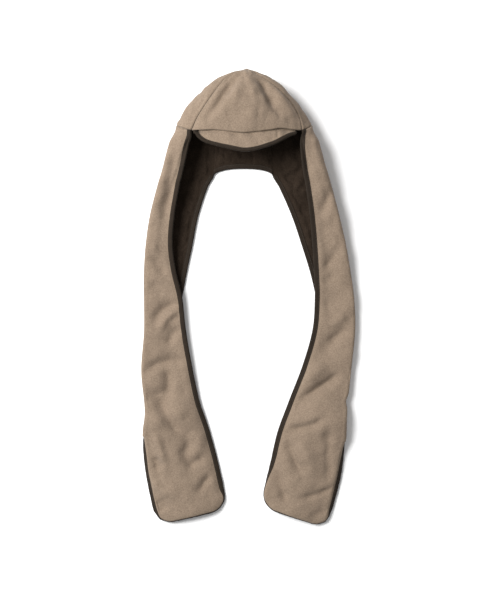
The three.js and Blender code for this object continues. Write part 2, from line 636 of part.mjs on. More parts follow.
// Crown: rings of points over the rim's columns, in the order front, left, nape, right.
function layCrown() {
  const { rightSeam, leftSeam } = RIM_RING;
  const columns = [];
  for (let k = 0; k < FRONT_STEPS; k++) {
    columns.push({ degrees: mix(rightSeam, leftSeam, k / FRONT_STEPS), gore: "front" });
  }
  const leftShares = stripShares("left", 0);
  for (let k = 0; k < STRIP_STEPS; k++) {
    const gore = k < GORE_SEAM_COLUMN ? "left" : "back_left";
    columns.push({ degrees: rimAngle("left", leftShares[k]), gore, rim: strips.left.grid[0][k] });
  }
  for (let k = 0; k < NAPE_SHARES.length - 1; k++) {
    const gore = NAPE_SHARES[k] < 0.5 ? "back_left" : "back_right";
    const degrees = mix(NAPE_ANGLES.left, NAPE_ANGLES.right, NAPE_SHARES[k]);
    columns.push({ degrees, gore, rim: nape[0][k] });
  }
  const rightShares = stripShares("right", 0);
  for (let k = STRIP_STEPS; k > 0; k--) {
    const gore = k <= GORE_SEAM_COLUMN ? "right" : "back_right";
    const degrees = rimAngle("right", rightShares[k]);
    columns.push({ degrees, gore, rim: strips.right.grid[0][k] });
  }
  columns[0].rim = strips.right.grid[0][0];
  const rings = [];
  for (let level = 0; level <= TOP_LEVEL; level++) {
    rings.push(columns.map(({ degrees, rim }) =>
      level === 0 && rim !== undefined ? rim : shell.add(crownPoint(level, degrees))));
  }
  const tip = shell.add(CROWN_TIP.clone());
  const count = columns.length;
  for (let j = 0; j < count; j++) {
    const next = (j + 1) % count;
    for (let level = 0; level < TOP_LEVEL; level++) {
      shell.patch(`crown_${columns[j].gore}`,
        rings[level][j], rings[level + 1][j], rings[level + 1][next], rings[level][next]);
    }
    // The front gore carries the small puckered tip, where all the gores are caught together.
    shell.triangle("crown_front", rings[TOP_LEVEL][j], tip, rings[TOP_LEVEL][next]);
  }
  return { rings, columns };
}
const crown = layCrown();
shell.finish();

// Peak: a crescent of its own, from behind the front hem to the bound free edge.
function layPeak() {
  const sheet = new Sheet();
  const rows = [[], [], [], [], []];
  for (let k = 0; k <= PEAK_STEPS; k++) {
    const share = k / PEAK_STEPS;
    // The hem's columns run from right to left.
    const column = mix(1 - PEAK_MARGIN, PEAK_MARGIN, share) * FRONT_STEPS;
    const left = Math.floor(column);
    const onGore = (level, depth) => {
      const [a, b] = [left, left + 1].map((j) => {
        const i = crown.rings[level][j];
        return shell.points[i].clone().addScaledVector(shell.normals[i], -depth);
      });
      return a.lerp(b, column - left);
    };
    const under = PEAK_UNDER + PEAK_CORNER_UNDER * Math.abs(2 * share - 1) ** PEAK_CORNER_POWER;
    const hem = onGore(0, under);
    const up = onGore(1, under).sub(hem).normalize();
    const root = hem.clone().addScaledVector(up, PEAK_TUCK);
    const out = hem.clone().addScaledVector(up, -PEAK_CLEAR);
    const place = share * (PEAK_EDGE.length - 1);
    const [x, y, z] = ["x", "y", "z"].map((key) => readTable(PEAK_EDGE, "place", place, key));
    const edge = new THREE.Vector3(x, y, z);
    const hidden = PEAK_TUCK + PEAK_CLEAR;
    const depth = out.distanceTo(edge);
    // A point by its distance from the root, along the line root, out, edge.
    const alongPeak = (distance) => {
      if (distance < hidden) return root.clone().lerp(out, distance / hidden);
      const point = out.clone().lerp(edge, (distance - hidden) / depth);
      point.z += PEAK_DOME * Math.min(distance - hidden, PEAK_TAPE_WIDTH) / PEAK_TAPE_WIDTH;
      return point;
    };
    const reach = hidden + depth - PEAK_TAPE_WIDTH;
    const first = Math.min(hidden, reach * PEAK_FIRST_SHARE);
    const inner = alongPeak(reach);
    const middle = alongPeak((first + reach) / 2);
    [root, alongPeak(first), middle, inner, edge].forEach((point, i) => rows[i].push(sheet.add(point)));
  }
  for (let i = 0; i < rows.length - 1; i++) {
    for (let k = 0; k < PEAK_STEPS; k++) {
      sheet.patch("peak", rows[i][k], rows[i + 1][k], rows[i + 1][k + 1], rows[i][k + 1]);
    }
  }
  sheet.finish();
  return { sheet, rows };
}
const peak = layPeak();

function addMesh(group, name, geometry, finish) {
  const mesh = new THREE.Mesh(geometry, new THREE.MeshStandardMaterial(finish));
  mesh.name = name;
  geometry.computeVertexNormals();
  group.add(mesh);
}

const fleeceWall = (sheet, triangles) => clothWall(sheet, triangles, 0, FLEECE);
const liningWall = (sheet, triangles) => clothWall(sheet, triangles, FLEECE + PLY_GAP, STACK);

function buildCrown() {
  const group = new THREE.Group();
  for (const gore of ["front", "left", "right", "back_left", "back_right"]) {
    const walls = shell.pieces[`crown_${gore}`];
    addMesh(group, `crown_${gore}_gore`, fleeceWall(shell, walls), FLEECE_FINISH);
  }
  // The crown's lining stops short of the front hem, where the peak's root goes in.
  const hemPoints = new Set(crown.rings[0].slice(1, FRONT_STEPS));
  const lined = Object.keys(shell.pieces)
    .filter((name) => name.startsWith("crown_"))
    .flatMap((name) => shell.pieces[name])
    .filter((corners) => !corners.some((i) => hemPoints.has(i)));
  addMesh(group, "crown_lining", liningWall(shell, lined), LINING_FINISH);
  return group;
}

function buildPeak() {
  const group = new THREE.Group();
  const { sheet, rows } = peak;
  const [inner, edge] = rows.slice(-2);
  addMesh(group, "peak_top", fleeceWall(sheet, sheet.pieces.peak), FLEECE_FINISH);
  addMesh(group, "peak_underside", liningWall(sheet, sheet.pieces.peak), LINING_FINISH);
  const pairs = edge.map((point, k) => [point, inner[k]]);
  addMesh(group, "peak_binding", boundTape(sheet, pairs), TAPE_FINISH);
  return group;
}

function buildNape() {
  const group = new THREE.Group();
  addMesh(group, "nape_panel", fleeceWall(shell, shell.pieces.nape), FLEECE_FINISH);
  addMesh(group, "nape_lining", liningWall(shell, shell.pieces.nape), LINING_FINISH);
  const [inner, edge] = nape.slice(-2);
  const pairs = edge.map((point, k) => [point, inner[k]]);
  addMesh(group, "nape_binding", boundTape(shell, pairs), TAPE_FINISH);
  return group;
}

function buildStrip(side) {
  const group = new THREE.Group();
  const { grid, seamRow } = strips[side];
  const [cheek, scarf] = [shell.pieces[`${side}_cheek`], shell.pieces[`${side}_scarf`]];
  addMesh(group, `${side}_cheek_panel`, fleeceWall(shell, cheek), FLEECE_FINISH);
  addMesh(group, `${side}_scarf_panel`, fleeceWall(shell, scarf), FLEECE_FINISH);
  addMesh(group, `${side}_scarf_lining`, liningWall(shell, [...cheek, ...scarf]), LINING_FINISH);
  const end = grid.length - 1;
  const middle = Math.floor(STRIP_STEPS / 2);
  const innerRow = (i) => Math.min(i, end - 1);
  const front = [];
  for (let i = 0; i <= end; i++) front.push([grid[i][0], grid[innerRow(i)][1]]);
  for (let j = 1; j <= middle; j++) front.push([grid[end][j], grid[end - 1][j]]);
  addMesh(group, `${side}_front_binding`, boundTape(shell, front), TAPE_FINISH);
  const back = [];
  for (let j = middle; j < STRIP_STEPS; j++) back.push([grid[end][j], grid[end - 1][j]]);
  for (let i = end; i >= seamRow; i--) {
    back.push([grid[i][STRIP_STEPS], grid[innerRow(i)][STRIP_STEPS - 1]]);
  }
  const backTape = boundTape(shell, back, CORNER_SETBACK);
  addMesh(group, `${side}_back_binding`, backTape, TAPE_FINISH);
  return group;
}

const hoodedScarf = new THREE.Group();
hoodedScarf.add(buildCrown(), buildPeak(), buildNape(), buildStrip("left"), buildStrip("right"));
hoodedScarf.position.set(-BBOX_CENTRE.x, -BBOX_CENTRE.y, 0);

export default hoodedScarf;
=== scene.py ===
"""Dresses the hooded scarf: cloth pieces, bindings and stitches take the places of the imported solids.

The hood lies on its back on a pale floor. Its crown is cut in five gores, a short soft peak hangs
from the front hem, a nape piece closes the back, and one long strip each side is folded in half
beside the face and opens out flat towards its rounded end. Every strip is an outer fleece and a
lining whose edges are held in a bound tape. The tables are in millimetres: X to the right, Y
towards the tip of the crown, Z up from the floor.
"""

import logging
import math
from dataclasses import dataclass, field
from enum import Enum
from functools import cached_property

import bpy
import numpy as np
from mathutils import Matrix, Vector
from numpy.typing import NDArray


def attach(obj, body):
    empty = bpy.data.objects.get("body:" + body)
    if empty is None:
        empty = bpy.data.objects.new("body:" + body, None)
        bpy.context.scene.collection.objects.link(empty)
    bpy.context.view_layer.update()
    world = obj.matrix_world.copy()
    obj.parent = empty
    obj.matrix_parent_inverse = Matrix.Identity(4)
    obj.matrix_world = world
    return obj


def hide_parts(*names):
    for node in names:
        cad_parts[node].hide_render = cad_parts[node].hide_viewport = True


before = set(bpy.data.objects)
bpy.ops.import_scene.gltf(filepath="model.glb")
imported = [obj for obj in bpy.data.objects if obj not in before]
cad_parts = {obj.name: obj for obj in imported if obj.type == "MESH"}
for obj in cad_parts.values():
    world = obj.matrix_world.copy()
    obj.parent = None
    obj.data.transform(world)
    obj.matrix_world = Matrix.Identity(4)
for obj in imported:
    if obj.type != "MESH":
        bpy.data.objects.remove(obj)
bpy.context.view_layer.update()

Array = NDArray[np.float64]
Folds = tuple["Fold", ...]
Point = tuple[float, float, float]
Colour = tuple[float, float, float]
Swells = tuple["SoftWaves", ...]
Piece = bpy.types.Object
Socket = bpy.types.NodeSocket
log = logging.getLogger("hooded_scarf")

MM = 0.001
TABLE_SHIFT = np.array([-0.5, 5.1, 0.0])  # from the tables' origin to the frame's
ROOT_BODY = "root"
SMALLEST = 1e-9  # what a length is taken to be at least, before it divides

# Cloth
FLEECE = 1.8
LINING = 1.4
PLY_GAP = 0.3
STACK = FLEECE + PLY_GAP + LINING
FLOOR_TOUCH = 0.05  # the lowest that any cloth lies

# Bound edges, as the solids have them
TAPE_WIDTH = 9.0
TAPE_PROUD = 1.2
TAPE_ROWS = 3  # the mesh's rows under the tapes of the nape and the peak
ROLL_CLEAR = 1.4  # what a rolled edge needs under its outer face
SIDE_SEAM_SHARE = 0.62  # where across a strip's top the crown's side seam meets it


class Side(Enum):
    """The two scarf ends, with the way each one lies from the middle line."""

    LEFT = -1
    RIGHT = 1

    @property
    def label(self) -> str:
        """The word that starts the side's piece names."""
        return self.name.lower()


class Slot(Enum):
    """The record's material slots."""

    FLEECE = "outer_fleece"
    LINING = "lining_fleece"
    TAPE = "binding_tape"


def ease(t: Array | float) -> Array:
    """Rises from 0 to 1 with level ends."""
    t = np.clip(t, 0.0, 1.0)
    return t * t * (3.0 - 2.0 * t)


def mix(a: Array | float, b: Array | float, share: Array | float) -> Array:
    """The value that lies that share of the way from a to b."""
    return a + (b - a) * share


def unit(vectors: Array) -> Array:
    """Vectors of length one, along the last axis."""
    return vectors / np.maximum(np.linalg.norm(vectors, axis=-1, keepdims=True), SMALLEST)


@dataclass(frozen=True)
class Rows:
    """A short table, read on a smooth curve through its rows.

    Attributes:
        columns: the name of each column; the table is read along the first.
        rows: the values, row by row.
    """

    columns: tuple[str, ...]
    rows: tuple[tuple[float, ...], ...]

    def column(self, name: str) -> Array:
        """All values of one column."""
        return np.array([row[self.columns.index(name)] for row in self.rows], float)

    def read(self, name: str, place: Array | float) -> Array:
        """Reads one column at places between the rows.

        Args:
            name: the column to read.
            place: where, in terms of the first column.

        Returns:
            The value at each place.
        """
        axis, value = self.column(self.columns[0]), self.column(name)
        last = len(axis) - 1
        place = np.asarray(place, float)
        i = np.clip(np.searchsorted(axis, place, side="left") - 1, 0, last - 1)

        def slope(k: Array) -> Array:
            """The curve's slope at each of those rows."""
            before, after = np.maximum(k - 1, 0), np.minimum(k + 1, last)
            return (value[after] - value[before]) / (axis[after] - axis[before])

        span = axis[i + 1] - axis[i]
        t = np.clip((place - axis[i]) / span, 0.0, 1.0)
        bend = (2 * t**3 - 3 * t**2) * (value[i] - value[i + 1]) + value[i]
        rise = (t**3 - 2 * t**2 + t) * slope(i) + (t**3 - t**2) * slope(i + 1)
        return bend + rise * span

    def read_all(self, place: Array | float) -> dict[str, Array]:
        """Every column at those places, by name."""
        return {name: self.read(name, place) for name in self.columns}


@dataclass(frozen=True)
class Fold:
    """A crease: a path in plan along which the cloth is pressed in, fading at both ends.

    Attributes:
        path: points along it.
        width: how far the crease spreads to each side.
        depth: how far it presses in; a negative one lifts the cloth.
        lean: how much narrower it is on the left of its path.
        fade: share of its length over which it fades at each end.
        stump: what is left of the depth at the very ends.
    """

    path: tuple[tuple[float, float], ...]
    width: float
    depth: float
    lean: float = 0.0
    fade: float = 0.3
    stump: float = 0.2
    reach: float = 3.0

    @cached_property
    def course(self) -> Array:
        """The path with its corners cut off twice."""
        course = np.array(self.path, float)
        for _ in range(2):
            cut = [mix(course[:-1], course[1:], share) for share in (0.25, 0.75)]
            course = np.concatenate([course[:1], np.stack(cut, axis=1).reshape(-1, 2), course[-1:]])
        return course

    def near(self, x: Array, y: Array) -> Array:
        """Which points of the plan lie near enough to be pressed."""
        reach = self.reach * self.width
        (low_x, low_y), (high_x, high_y) = self.course.min(axis=0), self.course.max(axis=0)
        return (x > low_x - reach) & (x < high_x + reach) & (y > low_y - reach) & (y < high_y + reach)

    def press(self, x: Array, y: Array) -> Array:
        """How far the crease presses each point of the plan in."""
        steps = np.diff(self.course, axis=0)
        lengths = np.hypot(steps[:, 0], steps[:, 1])
        starts = np.cumsum(lengths) - lengths
        away, place, left = np.full(x.shape, np.inf), np.zeros(x.shape), np.zeros(x.shape)
        for (x1, y1), (dx, dy), length, start in zip(self.course, steps, lengths, starts):
            along = np.clip(((x - x1) * dx + (y - y1) * dy) / length**2, 0.0, 1.0)
            off_x, off_y = x - x1 - along * dx, y - y1 - along * dy
            nearer = np.hypot(off_x, off_y) < away
            away = np.where(nearer, np.hypot(off_x, off_y), away)
            place = np.where(nearer, start + along * length, place)
            left = np.where(nearer, np.sign(dx * off_y - dy * off_x), left)
        share = place / lengths.sum()
        held = mix(self.stump, 1.0, ease(np.minimum(share, 1 - share) / self.fade))
        return self.depth * held * np.exp(-((away / (self.width * (1 - self.lean * left))) ** 2))


def press_all(folds: Folds, x: Array, y: Array) -> Array:
    """How far a group of creases presses each point of the plan in."""
    pressed = np.zeros_like(x)
    for fold in folds:
        near = fold.near(x, y)
        pressed[near] += fold.press(x[near], y[near])
    return pressed


@dataclass(frozen=True)
class SoftWaves:
    """Slow uneven swells over soft cloth.

    Attributes:
        length: the usual distance from crest to crest.
        height: how far the swells rise and fall.
        seed: fixes their pattern.
        count: how many plain waves are added up.
    """

    length: float
    height: float
    seed: int
    count: int = 18
    spread: tuple[float, float] = (0.65, 1.4)

    def lift(self, points: Array) -> Array:
        """How far the swells lift each point."""
        rng = np.random.default_rng(self.seed)
        ways = unit(rng.normal(size=(self.count, 3)))
        ways *= 2 * math.pi / self.length * rng.uniform(*self.spread, (self.count, 1))
        phases = rng.uniform(0, 2 * math.pi, self.count)
        waves = np.sin(points @ ways.T + phases)
        return self.height * math.sqrt(2 / self.count) * waves.sum(axis=-1)


def swell_all(swells: Swells, points: Array) -> Array:
    """How far a group of swells lifts each point."""
    return sum(swell.lift(points) for swell in swells)


@dataclass(frozen=True)
class SeamRelief:
    """How cloth dips into a sewn seam and swells beside it.

    Attributes:
        dip: depth of the groove at the seam.
        dip_width: how far the groove reaches.
        swell: height of the soft roll beside it.
        swell_width: how far the roll reaches.
        pucker: height of the small gathers along it.
        pucker_pitch: from one gather to the next.
        valley: depth of the wide trough that the seam lies in.
        valley_width: how far that reaches.
        roll_gain: brings the roll's crest to its height.
        roll_fade: how fast the roll falls off beyond its crest.
    """

    dip: float
    dip_width: float
    swell: float
    swell_width: float
    pucker: float = 0.0
    pucker_pitch: float = 9.0
    valley: float = 0.0
    valley_width: float = 10.0
    roll_gain: float = 3.3
    roll_fade: float = 1.45

    # The waves that make the gathers uneven: their height, length and start
    drift_waves = ((1.7, 23.0, 0.0), (0.9, 8.7, 1.3))

    def lift(self, away: Array, run: Array) -> Array:
        """The height over the plain cloth, by the distance away from the seam and along it."""
        groove = -self.dip * np.exp(-((away / self.dip_width) ** 2))
        groove = groove - self.valley * np.exp(-((away / self.valley_width) ** 2))
        t = away / self.swell_width
        roll = self.swell * self.roll_gain * t * np.exp(-((self.roll_fade * t) ** 2))
        drift = sum(height * np.sin(run / length + start) for height, length, start in self.drift_waves)
        gather = np.sin(2 * math.pi * run / self.pucker_pitch + drift)
        near = np.exp(-away / self.swell_width) * (1 - np.exp(-away / self.dip_width))
        return groove + roll + self.pucker * gather * near


RIM_SEAM = SeamRelief(1.2, 2.0, 0.7, 10.0, 0.3, 10.0)

# The crown, ring by ring from its rim to its tip. Each ring is a flattened hoop: half its width,
# the heights of its top, widest point and bottom, and the angles of the two front seams.
CROWN_RINGS = Rows(
    ("level", "y", "centre", "half", "top", "mid", "bottom", "right_seam", "left_seam"),
    (
        (0, 333, -7.5, 134, 81, 36, 0, 31, 141),
        (1, 356, -7.8, 122.5, 85, 37, 0, 26, 139),
        (2, 378, -8.0, 106, 87, 39, 0, 23, 137),
        (3, 398, -7.3, 87.5, 84, 42, 3, 24, 137),
        (4, 415, -6.2, 70.5, 79, 44, 11, 32, 138),
        (5, 429, -7.5, 53, 73, 46, 21, 40, 137),
        (6, 437, -7.8, 39, 67, 48, 29, 46, 133),
        (7, 442, -6.5, 26, 61, 49, 37, 44, 126),
        (8, 444.8, -3.5, 9, 54.5, 50, 45, 44, 126),
    ),
)
# The rim's line round the hoop, from the middle of the back by way of the right side.
RIM_LINE = Rows(
    ("angle", "y"),
    (
        (-90, 346), (-55, 346), (-20, 343.5), (0, 339), (18, 332), (31, 326.5), (45, 326),
        (58, 327.5), (72, 322.5), (87, 318.3), (100, 319.7), (115, 324), (128, 324.3),
        (141, 325.5), (158, 332.5), (180, 339), (200, 343.5), (235, 346), (270, 346),
    ),
)
CROWN_FOLDS: Folds = (
    Fold(((13, 431), (22, 419), (33, 404), (43, 384), (53, 362)), 10, 11.5, -0.35, stump=0.35),
    Fold(((56, 406), (82, 378), (100, 350)), 14, -8),
    Fold(((1, 436), (5, 412), (14, 384)), 8, -3.5),
    Fold(((-17, 431), (-39, 404), (-58, 372), (-79, 348)), 8.5, 9.5, 0.1, stump=0.45),
    Fold(((-17, 427), (-21, 392), (-29, 367)), 10, -3),
    Fold(((26, 418), (38, 404)), 7, 2.5),
    Fold(((98, 368), (105, 349), (107, 331)), 4, -2.5),
    Fold(((105, 368), (113, 345)), 5, 3),
    Fold(((20, 370), (20, 341)), 6, 2),
    Fold(((-42, 352), (-28, 366)), 10, 1.5),
    Fold(((-8, 437), (-8, 423)), 2.2, 1.2),
)
# The scarf strips, station by station down from the rim. Distances out from the middle line:
# front is the front edge and side the outer silhouette. front_z is the front edge's height, bend
# the radius of the outer fold, turn how far the cloth turns there in degrees, lip what is left
# beyond the fold, and tilt how much a row slopes down towards the outside.
STATION_COLUMNS = ("at", "front", "front_z", "side", "bend", "turn", "lip", "tilt")
SCARF_STATIONS = {
    Side.LEFT: Rows(
        STATION_COLUMNS,
        (
            (0, 110.5, 65, 144.5, 33, 180, 44, 0),
            (48, 120.7, 56, 162, 28, 180, 67, 0),
            (82, 128.8, 50, 172, 24.5, 180, 79, 0),
            (105, 134.8, 45, 179.4, 22, 180, 76.5, 0),
            (164, 145.5, 36, 194.6, 18, 180, 76.3, 0),
            (223, 149.7, 29, 203.4, 15, 180, 76.5, 0),
            (276, 143.1, 22, 207, 12, 180, 72, 0),
            (327, 131.3, 18, 207.2, 10, 180, 65, 0),
            (391, 124.2, 16, 207.3, 9, 180, 55, 0.05),
            (461, 112.2, 13, 212.6, 9, 180, 37, 0.12),
            (531, 97.2, 8, 205.3, 9, 170, 27, 0.2),
            (563, 86.5, 7, 208.5, 9, 112, 13, 0.23),
            (591, 77.3, 6, 210.9, 7.5, 60, 10, 0.238),
            (641, 63.4, 5, 205.8, 6.5, 46, 9, 0.238),
            (701, 49.3, 5, 194, 7, 42, 9, 0.238),
            (751, 36.3, 5, 181.3, 14, 24, 8, 0.238),
        ),
    ),
    Side.RIGHT: Rows(
        STATION_COLUMNS,
        (
            (0, 100.5, 59, 130.5, 31, 180, 51.5, 0),
            (48, 104.3, 53, 147.1, 27, 180, 71, 0),
            (82, 109.5, 48, 158.5, 24, 180, 85, 0),
            (106, 114.1, 44, 165.6, 22, 180, 80.6, 0),
            (164, 122.7, 36, 181.2, 18, 180, 74.7, 0),
            (223, 128.2, 29, 194.9, 15, 180, 71.4, 0),
            (276, 131.7, 22, 204.1, 12, 180, 67.2, 0),
            (327, 133.5, 18, 211.2, 10, 180, 64.4, 0),
            (391, 129, 16, 213.3, 9, 180, 55, 0.03),
            (461, 109.4, 13, 205.3, 9, 180, 41, 0.12),
            (531, 82.3, 8, 197.3, 9, 165, 22, 0.22),
            (591, 60.2, 6, 193.3, 7.5, 70, 10, 0.3),
            (641, 47.9, 5, 186.3, 6, 46, 9, 0.32),
            (701, 32.3, 5, 170.5, 6.5, 42, 9, 0.333),
            (746, 20, 5, 159.4, 14, 26, 8, 0.333),
        ),
    ),
}
SCARF_FOLDS: Folds = (
    # left, from the cheek down to the tip
    Fold(((-138, 312), (-144, 285), (-151, 245), (-157, 210), (-164, 165), (-168, 138)), 11, 8),
    Fold(((-195, 108), (-173, 77), (-158, 57)), 8, -2.5),
    Fold(((-193, 85), (-173, 59), (-162, 41)), 10, 2.5),
    Fold(((-193, 57), (-164, 26)), 9, -2),
    Fold(((-193, 30), (-167, 2)), 13, 2.5),
    Fold(((-136, -12), (-158, -18), (-176, -30), (-188, -53)), 10, 5.5),
    Fold(((-138, -26), (-158, -36), (-168, -50), (-176, -69)), 9, -6),
    Fold(((-134, -36), (-154, -46)), 7, 2.5),
    Fold(((-132, -57), (-152, -77), (-162, -99)), 10.5, 6),
    Fold(
        ((-204, -159), (-194, -143), (-178, -131), (-158, -127), (-136, -126), (-120, -130)), 10.5, 7.5
    ),
    Fold(((-162, -138), (-158, -164), (-160, -190), (-166, -208)), 11, 8),
    Fold(((-179, -196), (-164, -230), (-147, -257), (-128, -273)), 14, 14.5, stump=0.6),
    Fold(((-112, -268), (-117, -290), (-125, -312), (-118, -330), (-108, -346)), 12, 8),
    Fold(((-120, -344), (-103, -327), (-84, -324)), 8, 5.5),
    Fold(((-190, -263), (-178, -289), (-170, -313), (-166, -335)), 9, -7.5),
    Fold(((-184, -315), (-178, -347)), 9, 6),
    Fold(((-90, -270), (-98, -300)), 11, -2.5),
    Fold(((-73, -351), (-91, -374), (-105, -396)), 8, 6),
    Fold(((-99, -382), (-71, -390)), 12, 2.5),
    Fold(((-194, -364), (-170, -382), (-154, -398)), 8, -5),
    Fold(((-178, -398), (-162, -428)), 13.5, 4),
    # right, from the cheek down to the tip
    Fold(((126, 327), (120, 288), (124, 245)), 10.5, 5.5),
    Fold(((170, 215), (158, 191), (144, 165)), 10, 7),
    Fold(((181, 148), (142, 132)), 12, 2.5),
    Fold(((185, 102), (167, 76), (150, 50)), 10, 6),
    Fold(((173, 47), (148, 26)), 9, 3.5),
    Fold(((191, -6), (146, -22)), 16.5, 2.5),
    Fold(((196, -34), (162, -59)), 9, -4),
    Fold(((202, -57), (182, -75), (156, -95)), 10, 7),
    Fold(((188, -149), (155, -172), (125, -192), (99, -210)), 9.5, 9.5),
    Fold(((155, -127), (113, -172)), 14, -8.5),
    Fold(((155, -236), (127, -256), (79, -265)), 8, 8),
    Fold(((109, -214), (93, -222)), 6, 2.5),
    Fold(((157, -245), (160, -283), (159, -323), (163, -347), (148, -372)), 9, 4.5),
    Fold(((81, -277), (89, -313), (109, -358)), 12, 8.5),
    Fold(((103, -277), (119, -323), (135, -362)), 10.5, -3),
    Fold(((54, -343), (66, -376), (78, -414)), 9, 9),
    Fold(((174, -300), (168, -350), (156, -396)), 20, -5),
    Fold(((172, -376), (143, -392), (103, -400)), 6.5, 5),
    Fold(((158, -418), (123, -442)), 9, 2.5),
)
# Where the lining inside the hood sinks, or swells where the depth is negative
LINING_FOLDS: Folds = (
    Fold(((-104, 250), (-78, 254)), 6, -2.8),
    Fold(((-116, 264), (-112, 224), (-108, 184)), 6, 3.2),
    Fold(((-96, 300), (-86, 262)), 10.8, -2),
    Fold(((-48, 290), (-46, 276)), 4.2, 2.4),
    Fold(((-20, 294), (-8, 274)), 4.2, 2.8),
    Fold(((8, 290), (10, 278)), 4.2, 2.4),
    Fold(((47, 292), (50, 250)), 3, 2),
    Fold(((78, 290), (60, 254)), 6, 3.2),
    Fold(((104, 268), (74, 244)), 6, -3),
    Fold(((104, 250), (74, 230)), 6, 3.2),
    Fold(((108, 228), (84, 210)), 6, -2.8),
    Fold(((96, 202), (90, 196)), 7.2, 2.8),
    Fold(((120, 184), (104, 164)), 7.2, 3),
    Fold(((-104, 170), (-120, 120)), 8.4, -2.4),
    Fold(((112, 140), (124, 90)), 8.4, -2.4),
)
# The peak's free edge, from its left corner to its right one
PEAK_EDGE = Rows(
    ("place", "x", "y", "z"),
    (
        (0, -104, 322, 66),
        (1, -96, 310, 68.5),
        (2, -80, 300.2, 73),
        (3, -47, 290.6, 79),
        (4, -5, 282.6, 82),
        (5, 30, 289.4, 81),
        (6, 57, 299.6, 77),
        (7, 78, 312, 71.5),
        (8, 92, 321, 67),
    ),
)


@dataclass(frozen=True)
class CrownForm:
    """The crown's plain shape, read from its rings.

    Attributes:
        rings: the flattened hoops.
        rim: the rim's line round the hoop.
        folds: its creases.
        tip: where all the gores are caught together.
        tip_dome: how far the gathered tip stands out between the last ring and its end.
        hoop_power: squares the lower half of a hoop, which rests on the floor.
        hoop_sink: how far that half is pressed flat.
        back_angle: the angle of the middle of the back.
    """

    rings: Rows = CROWN_RINGS
    rim: Rows = RIM_LINE
    folds: Folds = CROWN_FOLDS
    tip: Point = (-2.0, 446.0, 50.0)
    tip_dome: float = 1.6
    hoop_power: float = 2 / 2.5
    hoop_sink: float = 2.0
    back_angle: float = 270.0

    @cached_property
    def top_level(self) -> int:
        """The level of the last ring."""
        return len(self.rings.rows) - 1

    @cached_property
    def seams(self) -> tuple[float, float]:
        """The angles of the right and left front seams at the rim."""
        return float(self.rings.read("right_seam", 0)), float(self.rings.read("left_seam", 0))

    def rim_y(self, degrees: Array) -> Array:
        """How far up the rim lies at each angle."""
        return self.rim.read("y", np.where(degrees > self.back_angle, degrees - 360, degrees))

    def hoop_point(self, ring: dict[str, Array], degrees: Array) -> tuple[Array, Array]:
        """A point of a hoop, in the plane across Y.

        Args:
            ring: the hoop's numbers.
            degrees: the angle round it.

        Returns:
            The point's X and Z.
        """
        c, s = np.cos(np.radians(degrees)), np.sin(np.radians(degrees))
        upper_x = ring["centre"] + ring["half"] * c
        upper_z = ring["mid"] + (ring["top"] - ring["mid"]) * s
        lower_x = ring["centre"] + ring["half"] * np.sign(c) * np.abs(c) ** self.hoop_power
        down = (ring["mid"] - ring["bottom"] + self.hoop_sink) * np.abs(s) ** self.hoop_power
        lower_z = np.maximum(ring["mid"] - down, ring["bottom"])
        return np.where(s >= 0, upper_x, lower_x), np.where(s >= 0, upper_z, lower_z)

    def angle_on_ring(self, ring: dict[str, Array], degrees: Array) -> Array:
        """Carries an angle of the rim to a higher ring, so that the front seams keep their course."""
        right, left = self.seams
        back = self.back_angle
        front = mix(ring["right_seam"], ring["left_seam"], (degrees - right) / (left - right))
        beside = mix(ring["left_seam"], back, (degrees - left) / (back - left))
        turned = np.where(degrees > back, degrees - 360, degrees)
        beyond = mix(back - 360, ring["right_seam"], (turned - back + 360) / (right - back + 360))
        past_left = np.where((degrees > left) & (degrees <= back), beside, beyond)
        return np.where((degrees <= left) & (degrees >= right), front, past_left)

    def points(self, level: Array, degrees: Array) -> Array:
        """Points of the crown.

        Args:
            level: the ring, 0 at the rim; past the last ring it runs on to the tip.
            degrees: the angle at the rim.

        Returns:
            The points, in the shape of the two inputs with one axis more.
        """
        level, degrees = np.broadcast_arrays(np.asarray(level, float), np.asarray(degrees, float))
        ring = self.rings.read_all(np.minimum(level, self.top_level))
        x, z = self.hoop_point(ring, self.angle_on_ring(ring, degrees))
        lift = (1 - np.minimum(level / self.top_level, 1)) ** 2
        y = ring["y"] + (self.rim_y(degrees) - self.rings.read("y", 0)) * lift
        facing_up = np.clip((z - ring["mid"]) / (ring["top"] - ring["mid"] + 1), 0, 1)
        z = z - press_all(self.folds, x, y) * np.sqrt(facing_up)
        body = np.stack([x, y, z], axis=-1)
        past = np.clip(level - self.top_level, 0, 1)[..., None]
        dome = np.array([0.0, self.tip_dome, 0.0]) * np.sin(math.pi * past / 2)
        return mix(body, np.array(self.tip), past) + dome


